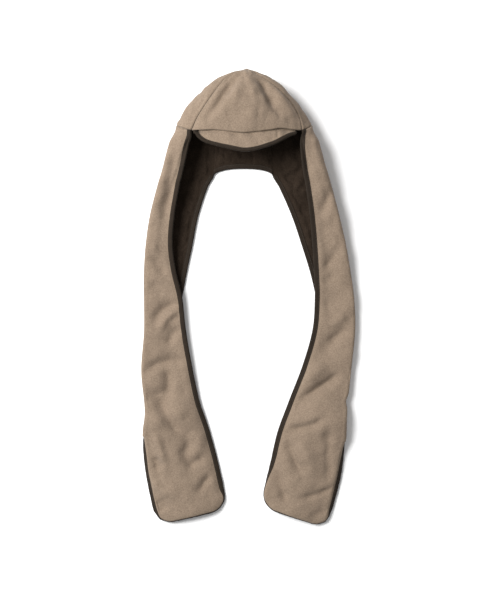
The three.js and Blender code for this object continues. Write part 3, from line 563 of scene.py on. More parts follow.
@dataclass(frozen=True)
class TipRoll:
    """How a strip's rounded end rolls under, by how far in from the edge the roll begins.

    Attributes:
        front_run: where down the front side the roll begins and where it is full.
        front: its start at the full place there.
        end_front: its start along the end, in its front half.
        end_back: the same in its back half.
        back_run: where down the back side the roll begins and where it is full.
        back: its start at the full place there.
        radius: how tightly the cloth rolls.
        reach: how far in from the roll the cloth is held up.
        end_draw: how far in the end's silhouette is drawn.
        side_change: where across the strip the front side's start begins to give way to the back
            side's, and over how much of its width.
        end_change: the same along the end.
    """

    front_run: tuple[float, float]
    front: float
    end_front: float
    end_back: float
    back_run: tuple[float, float]
    back: float
    radius: float = 4.5
    reach: float = 50.0
    end_draw: float = 3.7
    side_change: tuple[float, float] = (0.4, 0.2)
    end_change: tuple[float, float] = (0.3, 0.4)

    def start(self, at: Array, share: Array, to_end: Array) -> Array:
        """How far in from the edge the roll begins.

        Args:
            at: how far down the strip.
            share: the share of its width.
            to_end: 0 beside a side and 1 beside the end.

        Returns:
            The distances.
        """
        front = self.front * ease((at - self.front_run[0]) / (self.front_run[1] - self.front_run[0]))
        back = self.back * ease((at - self.back_run[0]) / (self.back_run[1] - self.back_run[0]))
        side = mix(front, back, ease((share - self.side_change[0]) / self.side_change[1]))
        end_share = ease((share - self.end_change[0]) / self.end_change[1])
        return mix(side, mix(self.end_front, self.end_back, end_share), to_end)

    def drop(self, start: Array) -> Array:
        """How far below the roll's start the cloth's edge comes to lie."""
        return self.radius * (1 - np.cos(np.minimum(start / self.radius, math.pi)))

    def draw_in(self, start: Array) -> Array:
        """How far in the roll would draw the silhouette."""
        return start - self.radius * np.sin(np.minimum(start / self.radius, math.pi / 2))


TIP_ROLLS = {
    Side.LEFT: TipRoll((690, 735), 11.2, 11.5, 12.2, (710, 745), 12.4),
    Side.RIGHT: TipRoll((625, 716), 13.6, 11.8, 13.8, (690, 738), 13.8),
}
# Short notches in the outer silhouette: where down the strip, their reach and their depth
NOTCHES = {Side.LEFT: (), Side.RIGHT: ((512, 9, 4),)}


@dataclass(frozen=True)
class StripForm:
    """The plain shape of one scarf end, read from its stations.

    Attributes:
        side: which end it is.
        crown: the crown it hangs from.
        top_y: where the stations are measured from.
        hood_ease: how far down a strip keeps something of the rim's slant.
        hoop_ease: how far down it keeps something of the rim's hooped section.
        nape_angles: where on the rim the left and right strips end and the nape begins.
        layer_sag: how far the upper layer sags where the strip is folded.
        open_puff: how far the cloth stands up where the strip lies open.
        puff_power: how soon from its edges it does so.
        open_from: how far down the strip begins to open.
        settle_width: how far from the fold the lower layer takes to settle.
        crease_edge: how far from an edge a crease is at its full depth.
        crease_past_fold: how far round the outer fold the creases go, as a share.
        square_power: how square the shoulders of a fold are.
        square_turn: a fold that turns further than this, in degrees, has squarer shoulders.
    """

    side: Side
    crown: CrownForm
    top_y: float = 325.5
    hood_ease: float = 75.0
    hoop_ease: float = 30.0
    nape_angles: tuple[float, float] = (250.0, 290.0)
    layer_sag: float = 3.0
    open_puff: float = 11.0
    puff_power: float = 1.1
    open_from: float = 430.0
    open_to: float = 600.0
    floor_slack: float = 0.5
    settle_width: float = 14.0
    corner_radius: float = 36.0
    crease_edge: float = 14.0
    crease_past_fold: float = 0.45
    square_power: float = 0.56
    square_turn: float = 130.0
    fold_samples: int = 90
    rim_samples: int = 240

    @property
    def stations(self) -> Rows:
        """The side's own table."""
        return SCARF_STATIONS[self.side]

    @cached_property
    def length(self) -> float:
        """How far down the strip's end lies."""
        return float(self.stations.rows[-1][0])

    @cached_property
    def rim_run(self) -> tuple[Array, Array]:
        """The stretch of the rim that the strip hangs from: angles, and lengths from the front."""
        right, left = self.crown.seams
        to_left, to_right = self.nape_angles
        ends = (left, to_left) if self.side is Side.LEFT else (right, to_right - 360)
        degrees = np.linspace(*ends, self.rim_samples + 1)
        ring = self.crown.rings.read_all(np.zeros_like(degrees))
        x, z = self.crown.hoop_point(ring, degrees)
        steps = np.hypot(np.diff(x), np.diff(z))
        return degrees, np.concatenate([[0.0], np.cumsum(steps)])

    def rim_angle(self, share: Array) -> Array:
        """The rim's angle at a share of the strip's width."""
        degrees, lengths = self.rim_run
        return np.interp(share * lengths[-1], lengths, degrees)

    def station(self, at: Array) -> dict[str, Array]:
        """One cross-section: its numbers, and the lengths of its three stretches."""
        s = self.stations.read_all(at)
        for place, reach, depth in NOTCHES[self.side]:
            s["side"] = s["side"] - depth * np.exp(-(((at - place) / reach) ** 2))
        s["turn"] = np.radians(np.clip(s["turn"], 0, 180))
        turn, bend, lip = s["turn"], s["bend"], s["lip"]
        outward = np.sin(np.minimum(turn, math.pi / 2))
        overhang = np.where(turn < math.pi / 2, lip * np.cos(turn) + TAPE_PROUD, 0.0)
        s["fold_x"] = s["side"] - bend * outward - overhang
        s["top_run"] = np.maximum((s["fold_x"] - s["front"]) * np.hypot(1, s["tilt"]), 1)
        s["fold_run"] = bend * turn
        s["width"] = s["top_run"] + s["fold_run"] + lip
        below = np.maximum(-TAPE_PROUD * np.cos(turn), (STACK + TAPE_PROUD) * np.cos(turn))
        edge_clear = self.floor_slack + TAPE_PROUD * np.sin(turn) + below
        s["top_z"] = edge_clear + bend * (1 - np.cos(turn)) + lip * np.sin(turn)
        return s

    def fold_round(self, angle: Array, turn: Array) -> tuple[Array, Array]:
        """The outer fold's curve, with squarer shoulders where the cloth is folded right over.

        Args:
            angle: how far round the fold a point lies.
            turn: how far the whole fold turns there.

        Returns:
            The way out and the way down, as shares of the fold's radius.
        """
        samples = np.linspace(0, math.pi / 2, self.fold_samples)
        out, up = np.sin(samples) ** self.square_power, np.cos(samples) ** self.square_power
        run = np.concatenate([[0.0], np.cumsum(np.hypot(np.diff(out), np.diff(up)))])
        run *= math.pi / 2 / run[-1]
        square_out = np.where(angle < math.pi / 2, np.interp(angle, run, out), np.sin(angle))
        square_down = np.where(angle < math.pi / 2, 1 - np.interp(angle, run, up), 1 - np.cos(angle))
        squared = ease((np.degrees(turn) - self.square_turn) / (180 - self.square_turn))
        return mix(np.sin(angle), square_out, squared), mix(1 - np.cos(angle), square_down, squared)

    def section(self, s: dict[str, Array], along: Array) -> tuple[Array, Array]:
        """A point of a cross-section.

        Args:
            s: the section's numbers.
            along: the distance along the cloth from the front edge.

        Returns:
            The distance out from the middle line, and the height.
        """
        share = np.clip(along / s["top_run"], 0, 1)
        opened = ease((s["at"] - self.open_from) / (self.open_to - self.open_from))
        bow = np.sin(math.pi * share)
        soft = mix(self.layer_sag * bow**2, -self.open_puff * bow**self.puff_power, opened)
        top_x = mix(s["front"], s["fold_x"], share)
        top_z = s["top_z"] - (s["top_z"] - s["front_z"]) * (1 - share) ** 2 - soft
        angle = np.clip((along - s["top_run"]) / s["bend"], 0, s["turn"])
        out, down = self.fold_round(angle, s["turn"])
        past = np.maximum(along - s["top_run"] - s["fold_run"], 0)
        z = s["top_z"] - s["bend"] * down - past * np.sin(s["turn"])
        clear = ease((s["lip"] - past - TAPE_WIDTH) / self.settle_width)
        settle = (TAPE_PROUD + self.floor_slack) * ease(past / self.settle_width) * clear
        x = s["fold_x"] + s["bend"] * out + past * np.cos(s["turn"])
        on_top = along <= s["top_run"]
        return np.where(on_top, top_x, x), np.where(on_top, top_z, np.maximum(z - settle, 0))

    def round_corner(self, across: Array, from_end: Array) -> tuple[Array, Array, Array, Array]:
        """Rounds an end corner: a square of the cutting pattern becomes a quarter disc.

        Args:
            across: the distance from the nearer side.
            from_end: the distance from the end.

        Returns:
            Both distances once the corner is round, the distance from the cut edge, and the angle
            of the way in from it, 0 from a side and a quarter turn from the end.
        """
        radius = self.corner_radius
        dx, dy = radius - across, radius - from_end
        reach = np.maximum(dx, dy)
        safe_x, safe_y = np.where(dx > 0, dx, 1), np.where(dy > 0, dy, 1)
        fan = np.where(dx > dy, math.pi / 4 * dy / safe_x, math.pi / 2 - math.pi / 4 * dx / safe_y)
        corner = (dx > 0) & (dy > 0)
        angle = np.where(corner, fan, np.where(dx > dy, 0.0, math.pi / 2))
        rounded = np.where(corner, radius - reach * np.cos(angle), across)
        below = np.where(corner, radius - reach * np.sin(angle), from_end)
        return rounded, below, radius - reach, angle

    def laid(self, place: Array, share: Array) -> Array:
        """Points of the strip before its tip rolls under.

        Args:
            place: how far down from the rim.
            share: the share of the width, from the front edge.

        Returns:
            The points, in the shape of the two inputs with one axis more.
        """
        s = self.station(place)
        along = share * s["width"]
        x, z = self.section(s, along)
        y = self.top_y - place - s["tilt"] * (x - s["front"])
        past_fold = (along - s["top_run"]) / (s["fold_run"] * self.crease_past_fold)
        facing_up = 1 - np.clip(past_fold, 0, 1)
        near_edge = ease(np.minimum(along, s["width"] - along) / self.crease_edge)
        pressed = press_all(SCARF_FOLDS, self.side.value * x, y) * facing_up * near_edge
        floor_clear = self.floor_slack + STACK + TAPE_PROUD
        lowest = np.where((facing_up > 0) | (s["turn"] < math.pi / 2), floor_clear, 0)
        laid_z = np.maximum(z - pressed, np.minimum(z, lowest))
        degrees = self.rim_angle(share)
        rim = self.crown.rings.read_all(np.zeros_like(degrees))
        rim_x, rim_z = self.crown.hoop_point(rim, degrees)
        hoop = ease(place / self.hoop_ease)
        hood_y = mix(self.crown.rim_y(degrees) - place, y, ease(place / self.hood_ease))
        hooped_x, hooped_z = mix(rim_x, self.side.value * x, hoop), mix(rim_z, laid_z, hoop)
        return np.stack([hooped_x, hood_y, hooped_z], axis=-1)

    def points(self, at: Array, share: Array) -> Array:
        """Points of the strip, with its tip rolled under.

        Args:
            at: how far down from the rim, before the corners are rounded.
            share: the share of the width, from the front edge.

        Returns:
            The points, in the shape of the two inputs with one axis more.
        """
        at, share = np.broadcast_arrays(np.asarray(at, float), np.asarray(share, float))
        width = self.station(at)["width"]
        in_front = share < 0.5
        across = np.where(in_front, share, 1 - share) * width
        across, from_end, away, angle = self.round_corner(across, self.length - at)
        to_end = ease(0.5 + (across - from_end) / (2 * self.corner_radius))
        roll = TIP_ROLLS[self.side]
        start = roll.start(self.length - from_end, share, to_end)
        inward = np.maximum(start - away, 0)
        slid = (roll.draw_in(start) - roll.end_draw * to_end) * (1 - ease(away / roll.reach))

        def place(step: Array) -> Array:
            """The laid point that lies a step in from each one."""
            moved = (across + (step - slid) * np.cos(angle)) / width
            down = self.length - from_end - (step - slid) * np.sin(angle)
            return self.laid(down, np.where(in_front, moved, 1 - moved))

        points = place(inward)
        tangent = unit(points - place(inward + 1.0))
        normal = unit(np.array([0.0, 0.0, 1.0]) - tangent[..., 2:3] * tangent)
        theta = (inward / roll.radius)[..., None]
        wanted = roll.drop(start) + ROLL_CLEAR - points[..., 2]
        held = (wanted + np.hypot(wanted, 1.0)) / 2 * (1 - ease((away - start) / roll.reach))
        points[..., 2] += held * ease(start / roll.radius)
        rolled = tangent * np.sin(theta) - normal * (1 - np.cos(theta))
        return points + roll.radius * rolled


@dataclass
class Patch:
    """A grid of points of one face of cloth, with the way out from each.

    Attributes:
        points: rows by columns of points.
        flip: turns the way out round, for a grid that runs the other way.
        outward: the unit vectors that point out of the cloth's right side.
    """

    points: Array
    flip: bool = False
    outward: Array = field(init=False)

    def __post_init__(self) -> None:
        """Works out the way out at each point."""
        self.settle_outward()

    def settle_outward(self) -> None:
        """Works the way out again after the points have moved."""
        down, across = np.gradient(self.points, axis=0), np.gradient(self.points, axis=1)
        self.outward = unit(np.cross(across, down)) * (-1.0 if self.flip else 1.0)

    def lift(self, height: Array) -> None:
        """Moves each point out by its height."""
        self.points = self.points + self.outward * height[..., None]
        self.settle_outward()

    def run_across(self) -> Array:
        """The distance of each point from the first column, along its row."""
        steps = np.linalg.norm(np.diff(self.points, axis=1), axis=-1)
        return np.concatenate([np.zeros((len(steps), 1)), np.cumsum(steps, axis=1)], axis=1)

    def run_down(self) -> Array:
        """The distance of each point from the first row, along its column."""
        steps = np.linalg.norm(np.diff(self.points, axis=0), axis=-1)
        return np.concatenate([np.zeros((1, steps.shape[1])), np.cumsum(steps, axis=0)])

    def to_side(self) -> Array:
        """The distance of each point from the nearer side, along its row."""
        across = self.run_across()
        return np.minimum(across, across[:, -1:] - across)

    def to_foot(self) -> Array:
        """The distance of each point from the last row, along its column."""
        down = self.run_down()
        return down[-1:] - down

    def face(self, depth: Array | float) -> Array:
        """The points at a depth under the right side."""
        return self.points - self.outward * np.asarray(depth)[..., None]


@dataclass
class MeshParts:
    """Points and faces gathered for one mesh."""

    points: list[Array] = field(default_factory=list)
    faces: list[tuple[int, ...]] = field(default_factory=list)
    count: int = 0

    def add_faces(self, *corners: Array) -> None:
        """Adds four-sided faces, from the numbers of their corners in turn."""
        self.faces.extend(map(tuple, np.stack(corners, -1).reshape(-1, 4).tolist()))

    def add_grid(self, points: Array, turned: bool, closed: bool = False) -> Array:
        """Adds a grid of points and its four-sided faces.

        Args:
            points: rows by columns of points.
            turned: reverses the faces.
            closed: joins the last column to the first.

        Returns:
            The points' numbers, as a grid.
        """
        rows, columns = points.shape[:2]
        index = self.count + np.arange(rows * columns).reshape(rows, columns)
        self.points.append(points.reshape(-1, 3))
        self.count += rows * columns
        wide = np.concatenate([index, index[:, :1]], axis=1) if closed else index
        a, b, c, d = wide[:-1, :-1], wide[:-1, 1:], wide[1:, 1:], wide[1:, :-1]
        self.add_faces(*((a, d, c, b) if turned else (a, b, c, d)))
        return index

    def add_tube(self, rings: Array, turned: bool = False) -> None:
        """Adds a tube, ring after ring, with a face over each end."""
        index = self.add_grid(rings, turned, closed=True).tolist()
        first, last = index[0], index[-1]
        self.faces.extend(map(tuple, (first, last[::-1]) if turned else (first[::-1], last)))

    def object(self, name: str) -> Piece:
        """Makes the Blender object, in metres in the frame, smoothly shaded."""
        points = np.concatenate(self.points)
        points[:, 2] = np.maximum(points[:, 2], FLOOR_TOUCH)
        points = (points + TABLE_SHIFT) * MM
        mesh = bpy.data.meshes.new(name)
        mesh.from_pydata(points.tolist(), [], self.faces)
        mesh.validate()
        mesh.polygons.foreach_set("use_smooth", [True] * len(mesh.polygons))
        mesh.update()
        made = bpy.data.objects.new(name, mesh)
        bpy.context.scene.collection.objects.link(made)
        return made


def ring_of(index: Array) -> Array:
    """The numbers round the border of a grid, in order."""
    return np.concatenate([index[0, :-1], index[:-1, -1], index[-1, :0:-1], index[:0:-1, 0]])


@dataclass(frozen=True)
class LiningSlack:
    """How far the lining stands off inside the hood.

    Attributes:
        tape_fade: how far from a tape it is full.
        hood_end: where, on the way down below the cheeks, it ends.
        hood_fade: how far above that it is full.
    """

    usual: float = 2.2
    least: float = 0.1
    most: float = 5.0
    tape_fade: float = 9.0
    hood_end: float = 20.0
    hood_fade: float = 60.0
    swells: Swells = (SoftWaves(31, 0.8, 51), SoftWaves(15, 0.3, 52))

    def at(self, points: Array, edge: Array) -> Array:
        """The slack at each point.

        Args:
            points: the cloth's points.
            edge: each one's distance from the cloth's edge.

        Returns:
            The slack, none beside the tapes and below the cheeks.
        """
        x, y = points[..., 0], points[..., 1]
        loose = self.usual + swell_all(self.swells, points) - press_all(LINING_FOLDS, x, y)
        slack = np.clip(loose, self.least, self.most) * ease((edge - TAPE_WIDTH) / self.tape_fade)
        return slack * ease((y - self.hood_end) / self.hood_fade)


LINING_SLACK = LiningSlack()


class Finish:
    """A finish that knows how to make its Blender material."""

    name: str

    def material(self) -> bpy.types.Material:
        """The finish's material, made once."""
        return bpy.data.materials.get(self.name) or self.make()

    def make(self) -> bpy.types.Material:
        """Makes the material."""
        raise NotImplementedError


@dataclass(frozen=True)
class Grain:
    """A noise pattern, spread over the range from 0 to 1.

    Attributes:
        size: the usual size of its spots, in metres.
        detail: how many finer layers it has.
        low: what becomes 0.
        high: what becomes 1.
        roughness: how strong the finer layers are.
    """

    size: float
    detail: float
    low: float = 0.3
    high: float = 0.7
    roughness: float = 0.55


@dataclass
class NodeSheet:
    """The nodes of one material.

    Attributes:
        material: the material they belong to.
    """

    material: bpy.types.Material

    @classmethod
    def fresh(cls, name: str) -> "NodeSheet":
        """A new material with its principled shader."""
        material = bpy.data.materials.new(name)
        material.use_nodes = True
        return cls(material)

    def fill(self, node: bpy.types.Node, values: dict[str, object]) -> None:
        """Sets a node's inputs by name, and links those whose value is a socket."""
        for key, value in values.items():
            if isinstance(value, Socket):
                self.material.node_tree.links.new(value, node.inputs[key])
            else:
                node.inputs[key].default_value = value

    def node(
        self, kind: str, values: dict[str, object] | None = None, **settings: object
    ) -> bpy.types.Node:
        """Adds a node.

        Args:
            kind: Blender's name for the node.
            values: what its inputs are set or linked to.
            settings: properties of the node.

        Returns:
            The node.
        """
        made = self.material.node_tree.nodes.new(kind)
        for key, value in settings.items():
            setattr(made, key, value)
        self.fill(made, values or {})
        return made

    def grain(self, grain: Grain) -> Socket:
        """Adds a noise over the object and gives its value from 0 to 1."""
        noise = self.node(
            "ShaderNodeTexNoise",
            {
                "Vector": self.node("ShaderNodeTexCoord").outputs["Object"],
                "Scale": 1 / grain.size,
                "Detail": grain.detail,
                "Roughness": grain.roughness,
            },
        )
        limits = {"From Min": grain.low, "From Max": grain.high}
        spread = self.node("ShaderNodeMapRange", {"Value": noise.outputs["Fac"], **limits})
        return spread.outputs["Result"]

    def blend(self, share: Socket, first: Colour, second: Colour) -> Socket:
        """Mixes two colours by a share."""
        values = {"Factor": share, "A": (*first, 1.0), "B": (*second, 1.0)}
        return self.node("ShaderNodeMix", values, data_type="RGBA").outputs["Result"]

    def multiply(self, first: Socket, second: Socket) -> Socket:
        """Multiplies two colours."""
        values = {"Factor": 1.0, "A": first, "B": second}
        made = self.node("ShaderNodeMix", values, data_type="RGBA", blend_type="MULTIPLY")
        return made.outputs["Result"]

    def bump(
        self, height: Socket, strength: float, distance: float, under: Socket | None = None
    ) -> Socket:
        """Adds a bump, over another where one is given.

        Args:
            height: what raises the surface.
            strength: from 0 to 1.
            distance: the full height, in metres.
            under: a bump that this one lies over.

        Returns:
            The normal.
        """
        values = {"Height": height, "Strength": strength, "Distance": distance}
        if under is not None:
            values["Normal"] = under
        return self.node("ShaderNodeBump", values).outputs["Normal"]

    def finished(self, values: dict[str, object]) -> bpy.types.Material:
        """Sets the principled shader's inputs and gives the material."""
        self.fill(self.material.node_tree.nodes["Principled BSDF"], values)
        return self.material


@dataclass(frozen=True)
class FleeceFinish(Finish):
    """Brushed fleece: a short mottled nap over knitted cloth.

    Attributes:
        name: the material's name.
        deep: the colour between the tufts.
        crest: the colour on the tufts.
        tufts: the pattern of the tufts.
        clumps: the pattern of the clumps that the tufts felt into.
        clump_tones: the darkest and lightest that those make the cloth.
        drift: the pattern of the slow changes where the nap lies another way.
        drift_tones: the darkest and lightest that those make the cloth.
        dark_blue: the share of blue that is left in the dark tones.
        nap_height: how far the clumps stand up, in metres.
        tuft_share: the tufts' share of that height.
    """

    name: str
    deep: Colour
    crest: Colour
    tufts: Grain = Grain(0.0021, 4.0, 0.34, 0.66, 0.62)
    clumps: Grain = Grain(0.0055, 3.0, roughness=0.7)
    clump_tones: tuple[float, float] = (0.975, 1.025)
    drift: Grain = Grain(0.035, 2.0)
    drift_tones: tuple[float, float] = (0.975, 1.025)
    dark_blue: float = 0.995
    nap_height: float = 0.0005
    tuft_share: float = 0.6
    clump_bump: float = 0.4
    tuft_bump: float = 0.55
    sheen: float = 0.12
    sheen_roughness: float = 0.55
    sheen_tint: Colour = (1.0, 0.96, 0.92)
    specular: float = 0.1
    roughness: float = 0.95

    def make(self) -> bpy.types.Material:
        """Makes the material."""
        sheet = NodeSheet.fresh(self.name)
        tufts, clumps, drift = (sheet.grain(g) for g in (self.tufts, self.clumps, self.drift))
        colour = sheet.blend(tufts, self.deep, self.crest)
        for share, (low, high) in ((clumps, self.clump_tones), (drift, self.drift_tones)):
            tone = sheet.blend(share, (low, low, low * self.dark_blue), (high, high, high))
            colour = sheet.multiply(colour, tone)
        coarse = sheet.bump(clumps, self.clump_bump, self.nap_height)
        fine = sheet.bump(tufts, self.tuft_bump, self.nap_height * self.tuft_share, coarse)
        return sheet.finished(
            {
                "Base Color": colour,
                "Normal": fine,
                "Roughness": self.roughness,
                "Specular IOR Level": self.specular,
                "Sheen Weight": self.sheen,
                "Sheen Roughness": self.sheen_roughness,
                "Sheen Tint": (*self.sheen_tint, 1.0),
            }
        )


@dataclass(frozen=True)
class TapeFinish(Finish):
    """Folded stretch tape: fine ribs across it and a faint sheen.

    Attributes:
        name: the material's name.
        valley: the colour between the ribs.
        rib: the colour on them.
        pitch: from one rib to the next, in metres.
        band: the pitch of Blender's bands at scale 1.
        wander: how unevenly the ribs run.
        rib_height: how far they stand up, in metres.
    """

    name: str
    valley: Colour
    rib: Colour
    pitch: float = 0.0012
    band: float = 0.314
    wander: float = 0.6
    rib_height: float = 0.00025
    rib_bump: float = 0.6
    drift: Grain = Grain(1 / 90, 3.0)
    dark: Colour = (0.88, 0.88, 0.88)
    light: Colour = (1.1, 1.09, 1.08)
    roughness: float = 0.8
    specular: float = 0.08
    sheen: float = 0.02
    sheen_roughness: float = 0.5

    def make(self) -> bpy.types.Material:
        """Makes the material; the tape's map has its length along U, in metres."""
        sheet = NodeSheet.fresh(self.name)
        values = {
            "Vector": sheet.node("ShaderNodeTexCoord").outputs["UV"],
            "Scale": self.band / self.pitch,
            "Distortion": self.wander,
            "Detail": 1.0,
        }
        wave = sheet.node("ShaderNodeTexWave", values, wave_type="BANDS", bands_direction="X")
        ribs = wave.outputs["Fac"]
        colour = sheet.blend(ribs, self.valley, self.rib)
        tone = sheet.blend(sheet.grain(self.drift), self.dark, self.light)
        return sheet.finished(
            {
                "Base Color": sheet.multiply(colour, tone),
                "Normal": sheet.bump(ribs, self.rib_bump, self.rib_height),
                "Roughness": self.roughness,
                "Specular IOR Level": self.specular,
                "Sheen Weight": self.sheen,
                "Sheen Roughness": self.sheen_roughness,
            }
        )


@dataclass(frozen=True)
class ThreadFinish(Finish):
    """Sewing thread: smooth, with a twist.

    Attributes:
        name: the material's name.
        colour: its colour.
        hollow: the share of that colour left between the strands.
        strands: the pattern of the strands.
    """

    name: str
    colour: Colour
    hollow: float = 0.75
    strands: Grain = Grain(1 / 2600, 1.0, 0.35, 0.65)
    strand_height: float = 0.0001
    strand_bump: float = 0.4
    roughness: float = 0.6

    def make(self) -> bpy.types.Material:
        """Makes the material."""
        sheet = NodeSheet.fresh(self.name)
        strands = sheet.grain(self.strands)
        dark = tuple(part * self.hollow for part in self.colour)
        return sheet.finished(
            {
                "Base Color": sheet.blend(strands, dark, self.colour),
                "Normal": sheet.bump(strands, self.strand_bump, self.strand_height),
                "Roughness": self.roughness,
            }
        )


@dataclass(frozen=True)
class FloorFinish(Finish):
    """The pale studio floor."""

    name: str = "pale_floor"
    colour: Colour = (0.95, 0.95, 0.95)
    roughness: float = 0.9

    def make(self) -> bpy.types.Material:
        """Makes the material."""
        values = {"Base Color": (*self.colour, 1.0), "Roughness": self.roughness}
        return NodeSheet.fresh(self.name).finished({**values, "Specular IOR Level": 0.0})


OUTER_FLEECE = FleeceFinish("brushed_fleece", (0.16, 0.1175, 0.0845), (0.2415, 0.184, 0.136))
LINING_FLEECE = FleeceFinish(
    "smooth_fleece",
    (0.0165, 0.0114, 0.008),
    (0.032, 0.0226, 0.0162),
    tufts=Grain(0.0018, 4.0, 0.34, 0.66, 0.62),
    clumps=Grain(0.004, 3.0, roughness=0.7),
    drift_tones=(0.84, 1.18),
    sheen=0.0,
    specular=0.03,
)
BINDING_TAPE = TapeFinish("stretch_tape", (0.013, 0.0092, 0.0065), (0.032, 0.0238, 0.0172))
BINDING_THREAD = ThreadFinish("binding_thread", (0.05, 0.038, 0.027))


def dress(piece: Piece, finish: Finish, nodes: tuple[str, ...] = ()) -> Piece:
    """Gives a piece its finish and body, and hides the nodes that it stands for.

    Args:
        piece: the new object.
        finish: its finish.
        nodes: the solids that it replaces.

    Returns:
        The same object.
    """
    piece.data.materials.append(finish.material())
    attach(piece, ROOT_BODY)
    if nodes:
        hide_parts(*nodes)
    log.info("%s: %d faces", piece.name, len(piece.data.polygons))
    return piece


@dataclass(frozen=True)
class ClothCut:
    """The flat size of a piece as it was cut, in millimetres.

    Attributes:
        width: its width.
        length: its length.
        area: its area in square millimetres, which is less than the rectangle's.
        held: how it is held.
    """

    width: float
    length: float
    area: float
    held: str = "laid"


@dataclass(frozen=True)
class Ply:
    """One of the two layers that every part is sewn from.

    Attributes:
        near: depth of its outer face under the outer cloth's right side.
        far: depth of its inner face.
        finish: its finish.
        slot: the record's slot.
    """

    near: float
    far: float
    finish: Finish
    slot: Slot

    def mesh(self, name: str, patch: Patch, slack: Array | float) -> Piece:
        """Makes a closed piece of cloth between the ply's two faces.

        Args:
            name: the piece's name.
            patch: the right side of the part.
            slack: how much further in the inner face stands.

        Returns:
            The new object.
        """
        parts = MeshParts()
        top = parts.add_grid(patch.face(self.near), turned=not patch.flip)
        under = parts.add_grid(patch.face(self.far + np.asarray(slack)), turned=patch.flip)
        rim, foot = ring_of(top), ring_of(under)
        wall = (rim, np.roll(rim, -1), np.roll(foot, -1), foot)
        parts.add_faces(*(wall[::-1] if patch.flip else wall))
        return parts.object(name)

    def sew(
        self, name: str, patch: Patch, cut: ClothCut, nodes: tuple[str, ...], slack: Array | float = 0.0
    ) -> None:
        """Args:
            name: the piece's name.
            patch: the right side of the part.
            cut: the size it was cut to; not used.
            nodes: the solids that it replaces.
            slack: how much further in the inner face stands.
        """
        piece = dress(self.mesh(name, patch, slack), self.finish, nodes)
        cut.length * MM


OUTER_PLY = Ply(0.0, FLEECE, OUTER_FLEECE, Slot.FLEECE)
LINING_PLY = Ply(FLEECE + PLY_GAP, STACK, LINING_FLEECE, Slot.LINING)


